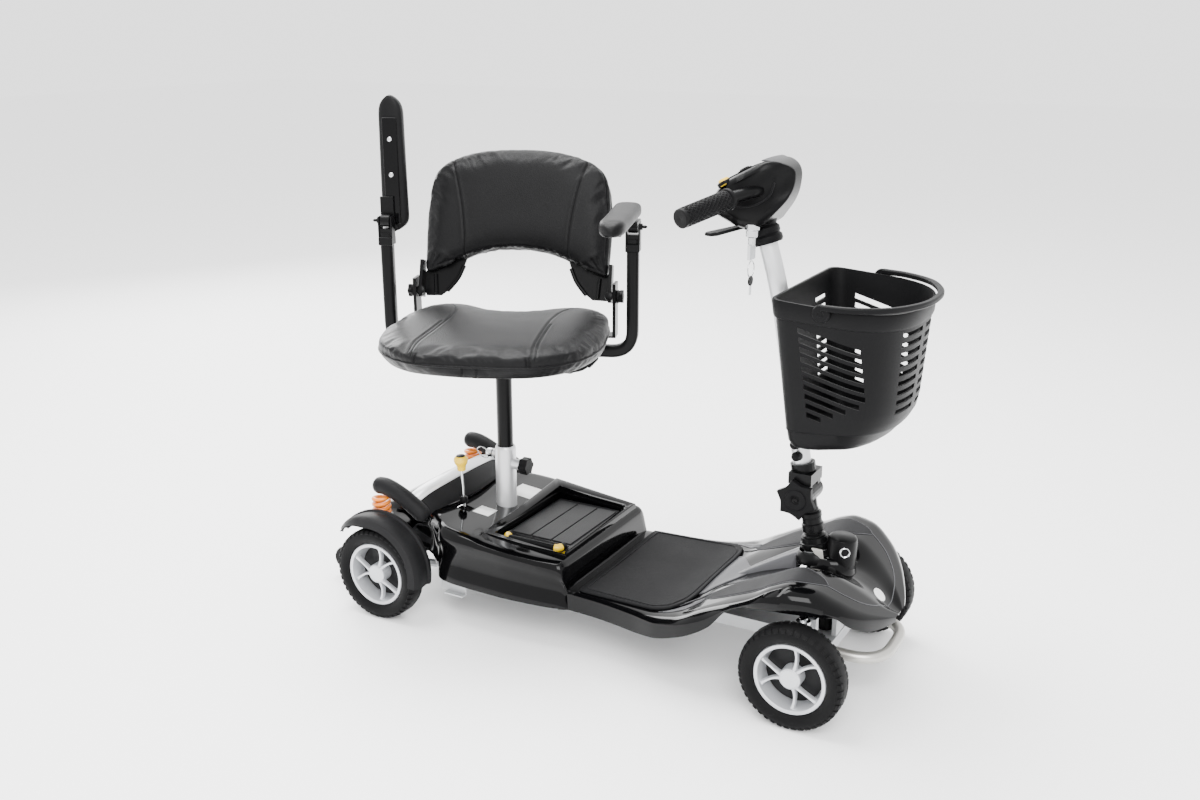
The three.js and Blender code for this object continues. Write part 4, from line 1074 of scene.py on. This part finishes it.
def basket_ring(t, inset, count=96):
    """The basket's outline at height share t (0 floor, 1 rim), drawn in by `inset`."""
    rear = 760 + (BASKET_REAR - 760) * t + inset
    front = 925 + (BASKET_FRONT - 925) * t - inset
    half = 112 + (143 - 112) * t - inset
    corner = 20
    straight = rear + 84
    ring = []
    for k in range(count):
        s = 4.0 * k / count
        if s < 1:
            y = -half + corner + (2 * half - 2 * corner) * s
            p = (rear, y)
        elif s < 1.5:
            f = (s - 1) * 2
            if f < 0.4:
                a = math.pi / 2 * f / 0.4
                p = (rear + corner * (1 - math.cos(a)), half - corner + corner * math.sin(a))
            else:
                p = (rear + corner + (straight - rear - corner) * (f - 0.4) / 0.6, half)
        elif s < 3.5:
            a = math.pi / 2 - math.pi * (s - 1.5) / 2
            c, d = math.cos(a), math.sin(a)
            p = (straight + (front - straight) * abs(c) ** 0.8, half * math.copysign(abs(d) ** 0.75, d))
        else:
            f = (s - 3.5) * 2
            if f < 0.6:
                p = (straight + (rear + corner - straight) * f / 0.6, -half)
            else:
                a = math.pi / 2 * (f - 0.6) / 0.4
                p = (rear + corner * (1 - math.sin(a)), -half + corner - corner * math.cos(a))
        x, y = p
        g = (x - BASKET_REAR) / (BASKET_FRONT - BASKET_REAR)
        tuck = 40 * max(0.0, 1 - t / 0.26) ** 1.8 * max(0.0, (g - 0.35) / 0.65)
        x -= tuck
        y *= 1 - 0.22 * tuck / 40
        floor = 436 + 16 * g
        rim = 686 - 14 * g
        ring.append((x, y, floor + (rim - floor) * t))
    return ring


def basket():
    rows = [(0, 26), (0.0, 12), (0.02, 5), (0.06, 1.4), (0.13, 0.8), (0.135, -0.4), (0.15, 0)]
    rows += [(t, 0) for t in np.linspace(0.2, 0.88, 9)]
    rows += [(0.885, -2), (0.9, -3), (0.985, -3), (1, -1.5), (1, 2.5), (0.9, 3.5)]
    rows += [(t, 3.5) for t in np.linspace(0.88, 0.1, 9)] + [(0.05, 7), (0.03, 14), (0.022, 27)]
    shell = loft([basket_ring(t, inset) for t, inset in rows])
    sides, fronts, rears = [], [], []
    for _, s in SIDES:
        for k in range(10):  # slanting slots through each side wall
            reach = 96 * (1.0, 1.0, 1.0, 1.0, 1.0, 1.0, 0.9, 0.68, 0.46, 0.24)[k]
            a = Vector((782 + 1.6 * k, s * 88, 641 - 15.2 * k))
            b = a + Vector((reach, 0, -0.27 * reach))
            lift = Vector((0, 0, 4.5))
            ring = [a - lift, b - lift, b + lift, a + lift]
            sides.append(loft([ring, [p + Vector((0, s * 70, 0)) for p in ring]]))
        for k in range(9):  # level slots round the front
            z = 636 - 15.5 * k
            reach = 78 - 1.2 * k
            fronts.append(block((862, min(s * 9, s * reach), z - 4), (990, max(s * 9, s * reach), z + 4)))
        for k in range(9):  # level slots in the rear wall
            z = 646 - 15.5 * k
            rears.append(block((700, min(s * 44, s * 98), z - 4), (780, max(s * 44, s * 98), z + 4)))
    cuts = [cutter_of(merge(*group)) for group in (sides, fronts, rears)]
    piece("basket_tub", shell, "soft_black", "basket_body", "basket", cuts=cuts, smooth=30)


def bail():
    plan = [(BAIL_X, 152.8), (866, 146.2), (914, 115.4), (944, 59), (952, 0)]
    whole = plan + [(x, -y) for x, y in reversed(plan[:-1])]
    path = spline([(x, y, BAIL_Z + 9 - (x - BAIL_X) * 0.02) for x, y in whole], 56)
    unit = [(1, -0.5), (1, 0.5), (0.6, 0.9), (-0.6, 0.9), (-1, 0.5), (-1, -0.5), (-0.6, -0.9), (0.6, -0.9)]
    strap = tube(path, 5.2, section=unit)
    boss = [(0, 0), (13, 0), (14, 1.5), (14, 4), (12, 6.4), (5, 6.8), (4, 5.4), (0, 5.4)]
    bosses = [turned(boss, (BAIL_X, s * 148.6, BAIL_Z), (0, s, 0), 32) for _, s in SIDES]
    handle = merge(strap, *bosses)
    piece("basket_bail_handle", handle, "soft_black", "basket_bail", "basket_handle", bevel=0.8)


basket()
bail()


# ------------------------------------------------------------------ upholstery
SEAT_BASE_Z = 505
CUSHION_HALF = [(262, 0), (256, 80), (232, 142), (180, 190), (100, 213), (10, 213), (-70, 200), (-120, 172),
                (-141, 130), (-135, 92), (-115, 48), (-105, 0)]
BACK_HALF = [(0, 285), (70, 281), (133, 264), (168, 238), (183, 196), (187, 130), (186, 70), (184, 40),
             (176, 31), (152, 38), (126, 50), (100, 62), (70, 73), (36, 80), (0, 82)]
VOXEL = 0.0042


def whole_outline(half, axis):
    """The closed outline of a half that starts and ends on the middle line of coordinate `axis`."""
    flip = (lambda p: (p[0], -p[1])) if axis == 1 else (lambda p: (-p[0], p[1]))
    return half + [flip(p) for p in reversed(half[1:-1])]


def inflate(name, shape, place, pinned, cap, pressure=4.0):
    """A skin swollen by cloth pressure: `pinned` tells which points stay, `cap` how far one may move."""
    made = new_object(name, shape, place)
    remesh = made.modifiers.new("voxels", "REMESH")
    remesh.mode = "VOXEL"
    remesh.voxel_size = VOXEL
    smooth = made.modifiers.new("even", "SMOOTH")
    smooth.iterations = 4
    bake_modifiers(made)
    rest = np.array([v.co for v in made.data.vertices])
    group = made.vertex_groups.new(name="held")
    group.add([i for i, p in enumerate(rest) if pinned(p)], 1.0, "REPLACE")
    cloth = made.modifiers.new("cloth", "CLOTH")
    settings = cloth.settings
    settings.vertex_group_mass = "held"
    settings.use_pressure = True
    settings.uniform_pressure_force = pressure
    settings.effector_weights.gravity = 0
    settings.quality = 5
    settings.tension_stiffness = settings.compression_stiffness = 18
    cloth.collision_settings.use_collision = False
    for step in range(1, 21):
        bpy.context.scene.frame_set(step)
    depsgraph = bpy.context.evaluated_depsgraph_get()
    after = np.array([v.co for v in made.evaluated_get(depsgraph).data.vertices])
    made.modifiers.remove(cloth)
    bpy.context.scene.frame_set(1)
    shift = after - rest
    length = np.linalg.norm(shift, axis=1, keepdims=True)
    limit = cap * MM
    soft = limit * np.tanh(length / limit)
    final = rest + shift * np.where(length > 1e-9, soft / np.maximum(length, 1e-9), 0)
    made.data.vertices.foreach_set("co", final.ravel())
    made.data.update()
    return made


def refine(made, levels=1):
    fine = made.modifiers.new("fine", "SUBSURF")
    fine.levels = fine.render_levels = levels
    bake_modifiers(made)


def carve(made, lines, width, depth, only=None, puff=0.0):
    """Sinks the skin along the given lines (lists of frame points), and puffs it up just beside them."""
    mesh = made.data
    points = np.array([v.co for v in mesh.vertices])
    normals = np.array([v.normal for v in mesh.vertices])
    near = np.full(len(points), 1e9)
    for line in lines:
        q = np.array([tuple(p) for p in line])
        for a, b in zip(q[:-1], q[1:]):
            ab = b - a
            t = np.clip((points - a) @ ab / (ab @ ab), 0, 1)
            near = np.minimum(near, np.linalg.norm(points - (a + t[:, None] * ab), axis=1))
    w, d = width * MM, depth * MM
    sink = -d * np.exp(-((near / w) ** 2)) + puff * MM * np.exp(-(((near - 2.6 * w) / (1.8 * w)) ** 2))
    if only is not None:
        sink = sink * np.array([only(p) for p in points])
    mesh.vertices.foreach_set("co", (points + normals * sink[:, None]).ravel())
    mesh.update()


def on_skin(made, points, direction, reach=0.12):
    """Points dropped along a direction onto the made mesh; those that miss are left out."""
    tree = BVHTree.FromPolygons([v.co for v in made.data.vertices], [p.vertices for p in made.data.polygons])
    along = Vector(direction).normalized()
    found = []
    for p in points:
        hit = tree.ray_cast(Vector(p) - along * reach, along)
        if hit[0] is not None:
            found.append(hit[0])
    return found


def metre_piece(name, shape, finish, body, **options):
    """A piece whose points are already in the frame's metres."""
    return piece(name, shape, finish, body, place=lambda p: Vector(p), **options)


def seat_cushion():
    """The seat: a crowned top, a piped waist and a lower tier that tucks in, swollen by cloth pressure."""
    plan = [(x, y, 0) for x, y in whole_outline(CUSHION_HALF, 1)]
    outline = [(p.x, p.y) for p in spline(plan, 96, closed=True)]
    centre = Vector((62, 0, 0))

    def ring(z, inset):
        points = []
        for x, y in outline:
            d = Vector((x, y, 0)) - centre
            points.append(centre + d * (1 - inset / d.length) + Vector((0, 0, z)))
        return points

    rows = [(507, 60), (507, 40), (509, 27), (516, 15), (527, 9.5), (532, 9), (538, 7), (544, 8.6),
            (548.5, 16), (550.5, 30), (551, 60)]
    skin = loft([ring(z, inset) for z, inset in rows])
    floor = (SEAT_BASE_Z + 4.5) * MM
    made = inflate("seat_pad", skin, on_seat, lambda p: p[2] < floor, 9)
    refine(made)
    waist = [on_seat(p) for p in ring(531, 7)]
    carve(made, [waist + [waist[0]]], 2.2, 3.0, puff=0.4)
    seams = []
    for s in (-1, 1):
        path = [(-144, 176), (-128, 150), (-94, 120), (-50, 102), (14, 95), (100, 96), (190, 101), (240, 105)]
        path.append((258, 106))
        flat = spline([(x, s * y, 552) for x, y in path], 110)
        seams.append([on_seat(p) for p in flat])
        seams.append([on_seat(p + Vector((0, s * 7, 0))) for p in flat[60:]])
    landed = [on_skin(made, line, (0, 0, -1)) for line in seams]
    tree = BVHTree.FromPolygons([v.co for v in made.data.vertices], [p.vertices for p in made.data.polygons])
    middle = on_seat((62, 0, 532))

    def drop_in(p):
        out = Vector((p.x - middle.x, p.y - middle.y, 0)).normalized()
        hit = tree.ray_cast(p + out * 0.06, -out)
        return hit[0] and hit[0] + out * 0.0004

    fronts = []
    for y in (-106, 106, 113, -14, 14):
        high = 548 if abs(y) > 100 else 529
        low = 533 if abs(y) > 100 else 512
        face = [drop_in(on_seat((256 if abs(y) > 100 else 262, y, z))) for z in np.linspace(high, low, 9)]
        fronts.append([p for p in face if p])
    carve(made, landed + fronts, 1.7, 1.5, puff=0.35)
    finish_piece(made, "vinyl", "seat", "seat_cushion", smooth=70)
    piping = [p for p in (drop_in(on_seat(q)) for q in ring(531, 7)) if p]
    metre_piece("seat_piping", tube(piping, 0.0019, 8, closed=True), "vinyl", "seat", smooth=70)
    for k, line in enumerate([*landed, *fronts]):
        seam_thread(f"seat_seam_{k}", line, "seat", Vector((0, 0, 1)) if k < len(landed) else Vector())


def seam_thread(name, line, body, out):
    """The thread that lies in a carved seam."""
    if len(line) > 3:
        sunk = [p - out * 0.0008 for p in line]
        metre_piece(name, tube(sunk, 0.00055, 6), "soft_black", body, smooth=70)


def on_back(p):
    """(left, height above the hinge, out of the front face) on the leaned back as a frame point."""
    u, v, w = p
    forward = HINGE_FORWARD + w * math.cos(RECLINE) - v * math.sin(RECLINE)
    return on_seat((forward, u, HINGE_Z + w * math.sin(RECLINE) + v * math.cos(RECLINE)))


def face_line(points, count):
    """A smooth line just in front of the leaned back's face."""
    return [on_back(p) for p in spline([(u, v, 12) for u, v in points], count)]


def seat_back():
    """The back: an arched panel whose faces swell between two bowed seams, on black hinge brackets."""
    points = [(u, v, 0) for u, v in whole_outline(BACK_HALF, 0)]
    count = 140
    outline = spline(points, count, closed=True)

    def ring(w, inset):
        out = []
        for i, p in enumerate(outline):
            along = (outline[(i + 1) % count] - outline[i - 1]).normalized()
            q = p + Vector((along.y, -along.x, 0)) * inset
            out.append(Vector((q.x, q.y, w)))
        return out

    rows = [(-27, 12), (-26, 8), (-20, 5), (-10, 4), (0, 5), (5, 8), (7, 13)]
    skin = loft([ring(w, inset) for w, inset in rows])
    front = (on_back((0, 0, 1)) - on_back((0, 0, 0))).normalized()
    hinge = on_back((0, 0, -27))
    made = inflate("back_pad", skin, on_back, lambda p: (Vector(p) - hinge).dot(front) < 0.002, 9)
    refine(made)
    seams = []
    for s in (-1, 1):
        bowed = [(136, 262), (120, 214), (108, 158), (102, 104), (102, 60)]
        seams.append(face_line([(s * u, v) for u, v in bowed], 70))
    seams.append(face_line([(150, 252), (166, 226), (173, 180), (175, 120), (174, 62)], 60))
    half = [(172, 44), (126, 61), (70, 83)]
    arch = [*[(-u, v) for u, v in half], (0, 92), *reversed(half)]
    seams.append(face_line(arch, 110))
    landed = [on_skin(made, line, -front) for line in seams]
    carve(made, landed, 1.7, 1.5, puff=0.35)
    edge = [on_back((p.x, p.y, 2)) for p in ring(2, 0)]
    carve(made, [edge + [edge[0]]], 2.0, 1.2)
    gathers = []
    for k in range(-9, 10):  # short pleats along the arch
        u = 13.5 * k
        v = 82 - 0.0017 * u * u
        gathers.append([on_back((u, v + r, 11)) for r in (0, 5, 9)])
    carve(made, gathers, 2.0, 0.8)
    puckers = []
    for s in (-1, 1):  # folds fanning out of the lower corners
        for k in range(5):
            reach = 52 - 5 * k
            tilt = math.radians(8 + 17 * k)
            path = []
            for t in np.linspace(0.1, 1, 6):
                u = 180 - reach * t * math.cos(tilt)
                v = 38 + reach * t * math.sin(tilt) - 5 * math.sin(math.pi * t)
                path.append(on_back((s * u, v, 11)))
            puckers.append(path)
    carve(made, puckers, 3.2, 2.2, puff=1.2)
    finish_piece(made, "vinyl", "back", "seat_back", smooth=70)
    for k, line in enumerate(landed):
        seam_thread(f"back_seam_{k}", line, "back", front)
    plates, ears = [], []
    for _, s in SIDES:
        bracket = [(184, 36), (186, 4), (180, -9), (150, -8), (137, 2), (126, 16), (116, 30), (109, 44),
                   (98, 74), (122, 70), (150, 58), (176, 50)]
        plates.append(loft([[(s * u, v, w) for u, v in bracket] for w in (-17, -13)]))
        rib_path = [(s * 138, 1, -12), (s * 118, 26, -12), (s * 106, 52, -12)]
        plates.append(tube(spline(rib_path, 12), 4.2, 12))
        plates.append(tube([(s * 160, -4, -11), (s * 163, 34, -11)], 4, 10))
        ear = [(-17, -12), (10, -13), (14, 8), (10, 60), (-12, 60), (-17, 10)]
        ears.append(loft([[(s * u, v, w) for w, v in ear] for u in (183, 189.5)]))
        ears.append(turned([(0, 0), (9, 0), (9, 2.4), (7, 3.6), (0, 3.6)], (s * 186, 0, 10), (0, 0, 1), 20))
    piece("back_plates", merge(*plates), "black_metal", "back", place=on_back, bevel=0.8)
    piece("back_ears", merge(*ears), "black_metal", "back", place=on_back, bevel=1)


def arm_pad(side, s, lift):
    """A rounded armrest pad with a crowned top, its glossy channel plate and the bracket at the pivot."""
    turn = Matrix.Rotation(-math.radians(lift), 4, "Y")

    def place(p):
        q = turn @ Vector(p)
        return on_seat((ARM_FORWARD + q.x, s * ARM_SIDE + q.y, ARM_PIVOT_Z + q.z))

    length, behind, shift = 255, 24, -s * 10
    rings = []
    for t in np.linspace(0, 1, 25):
        x = -behind + length * t
        end = min(math.sqrt(max(0.0, 1 - (1 - min(1, near)) ** 2)) for near in (t / 0.1, (1 - t) / 0.13))
        half = (26 - 3 * t) * max(0.12, end)
        top = 30 + 16 * max(0.15, end) - 2 * math.sin(math.pi * t)
        low = 16.5 + 3 * (1 - end)
        ring = []
        for k in range(20):
            a = 2 * math.pi * k / 20
            c, d = math.cos(a), math.sin(a)
            y = half * math.copysign(abs(c) ** 0.62, c)
            z = (low + top) / 2 + (top - low) / 2 * math.copysign(abs(d) ** 0.6, d)
            ring.append((x, shift + y, z))
        rings.append(ring)
    body = f"pad_{side}"
    cad_pad = f"armrest_pad_{side}"
    pad = piece(f"arm_pad_{side}", loft(rings), "vinyl", body, cad_pad, place=place, smooth=60, levels=1)
    channel = block((-8, shift - 14, 13.5), (190, shift + 14, 18))
    piece(f"pad_channel_{side}", channel, "gloss_black", body, place=place, bevel=1.6)
    barrel = turned([(0, -9), (12, -9), (12, 9), (0, 9)], (0, 0, 0), (0, 1, 0), 32)
    bracket = merge(block((-9, -13, 7.6), (44, 13, 14)), barrel)
    piece(f"pad_bracket_{side}", bracket, "black_metal", body, place=place, bevel=1.2)
    heads = [screw((x, shift, 13.6), (0, 0, -1), 4.6) for x in (84, 150)]
    piece(f"pad_screws_{side}", merge(*heads), "plated_steel", body, place=place)
    button = [(0, 0), (7, 0), (7.5, 1), (7, 3), (5.6, 3.6), (0, 3.6)]
    stop = turned(button, (-16, shift, 16.4), (0, 0, -1), 24)
    piece(f"pad_stop_{side}", stop, "deck_rubber", body, place=place)


def arm_post(side, s):
    """A square tube from its receiver, bent up to a collar and the forked head that holds the pad."""
    section = []
    for k in range(16):
        a = 2 * math.pi * (k + 0.5) / 16
        c, d = math.cos(a), math.sin(a)
        section.append((math.copysign(min(1, abs(c) * 1.3), c), math.copysign(min(1, abs(d) * 1.3), d)))
    y = s * ARM_SIDE
    path = rounded([(ARM_FORWARD, s * 84, 484), (ARM_FORWARD, y, 484), (ARM_FORWARD, y, 700)], 42, 12)
    post = tube(path, 11, section=section)
    cheeks = []
    for t in (-1, 1):
        cheek = y + t * 12
        cheeks.append(block((ARM_FORWARD - 11, cheek - 1.6, 688), (ARM_FORWARD + 11, cheek + 1.6, 731)))
    cheeks.append(block((ARM_FORWARD - 9.5, y - 11, 690), (ARM_FORWARD + 9.5, y + 11, 708)))
    collar = block((ARM_FORWARD - 13.5, y - 13.5, 676), (ARM_FORWARD + 13.5, y + 13.5, 692))
    body = f"arm_{side}"
    piece(f"arm_post_{side}", post, "black_metal", body, f"armrest_tube_{side}", place=on_seat, smooth=50)
    piece(f"arm_fork_{side}", merge(*cheeks), "black_metal", body, place=on_seat, bevel=1.2)
    piece(f"arm_collar_{side}", collar, "black_metal", body, place=on_seat, bevel=2.2)
    thread = [(0, 13), (6, 13), (6, 17), (3, 18), (3, 23), (1.2, 26), (0, 26)]
    bolt = turned(thread, (ARM_FORWARD, y, ARM_PIVOT_Z), (0, s, 0), 20)
    piece(f"arm_bolt_{side}", bolt, "black_metal", body, place=on_seat)
    knob_at = (ARM_FORWARD, s * 111, 456.5)
    knob = prism(disc_outline(17, 48, 6, 0.16), 0, 17.5, knob_at, (0, 0, -1), (1, 0, 0))
    stem = turned([(0, -1), (6, -1), (6, 12), (0, 12)], knob_at, (0, 0, 1), 20)
    rider = f"arm_knob_{side}"
    piece(f"arm_knob_piece_{side}", merge(knob, stem), "soft_black", rider, f"armrest_knob_{side}",
          place=on_seat, bevel=1.6)
    hub = [(0, 0), (12, 0), (13, 2), (12, 6), (8, 8), (0, 8)]
    hinge_at = (HINGE_FORWARD, s * 199, HINGE_Z)
    hinge = turned(hub, hinge_at, (0, s, 0), 28)
    knob_disc = prism(disc_outline(13, 40, 5, 0.2), 6, 13, hinge_at, (0, s, 0), (0, 0, 1))
    piece(f"hinge_knob_{side}", merge(hinge, knob_disc), "soft_black", "seat", place=on_seat, bevel=1)


def swivel():
    path = rounded([(0, 36, 460), (0, 150, 462), (0, 178, 492)], 20, 8)
    piece("swivel_rod", tube(path, 4.6, 14), "black_metal", "lever", "swivel_lever", place=on_seat)
    handle = [(0, 0), (6.4, 0), (6.8, 3), (6.8, 22), (5, 26), (0, 27)]
    tip = turned(handle, (0, 160, 471.5), (0, 0.68, 0.73), 20)
    piece("swivel_grip", tip, "soft_black", "lever", place=on_seat)


keep_cad("black_metal", "seat_base", bevel=1)
seat_cushion()
seat_back()
for side, s in SIDES:
    arm_post(side, s)
arm_pad("left", 1, 0)
arm_pad("right", -1, 90)
swivel()


# ------------------------------------------------------------------ floor, lights and camera
def room():
    mesh = bpy.data.meshes.new("floor")
    mesh.from_pydata([(-14, -14, 0), (14, -14, 0), (14, 14, 0), (-14, 14, 0)], [], [(0, 1, 2, 3)])
    floor = bpy.data.objects.new("floor", mesh)
    bpy.context.scene.collection.objects.link(floor)
    pale = bpy.data.materials.new("pale_floor")
    pale.use_nodes = True
    pale.node_tree.nodes["Principled BSDF"].inputs["Base Color"].default_value = (0.97, 0.97, 0.97, 1)
    pale.node_tree.nodes["Principled BSDF"].inputs["Roughness"].default_value = 0.7
    mesh.materials.append(pale)
    world = bpy.data.worlds.new("studio")
    world.use_nodes = True
    world.node_tree.nodes["Background"].inputs["Color"].default_value = (1, 1, 1, 1)
    world.node_tree.nodes["Background"].inputs["Strength"].default_value = 2.2
    bpy.context.scene.world = world


def softbox(name, place, aim, size, power):
    light = bpy.data.lights.new(name, "AREA")
    light.energy = power
    light.shape = "RECTANGLE"
    light.size, light.size_y = size
    made = bpy.data.objects.new(name, light)
    made.location = place
    made.rotation_mode = "QUATERNION"
    made.rotation_quaternion = (Vector(aim) - Vector(place)).to_track_quat("-Z", "Y")
    bpy.context.scene.collection.objects.link(made)


def camera():
    """The photograph's viewpoint, turned by its azimuth, elevation and slight roll."""
    data = bpy.data.cameras.new("camera")
    data.sensor_width = 36
    data.lens = 37.2
    data.clip_start, data.clip_end = 0.05, 60
    made = bpy.data.objects.new("camera", data)
    bpy.context.scene.collection.objects.link(made)
    made.location = on_body((1409.2, -1866.1, 1104.1))
    made.rotation_mode = "QUATERNION"
    azimuth, elevation, roll = (math.radians(a) for a in (29.27, 17.52, -0.10))
    level = math.cos(elevation)
    forward = Vector((-math.sin(azimuth) * level, math.cos(azimuth) * level, -math.sin(elevation)))
    made.rotation_quaternion = forward.to_track_quat("-Z", "Y") @ Quaternion((0, 0, 1), roll)
    bpy.context.scene.camera = made


room()
softbox("key", (1.6, -2.6, 2.8), (0, 0, 0.4), (2.0, 2.0), 190)
softbox("top", (-0.6, 0.2, 3.2), (0, 0, 0.3), (2.6, 1.6), 220)
softbox("rim", (-2.6, 1.6, 1.8), (0, 0, 0.4), (1.4, 2.0), 90)
camera()
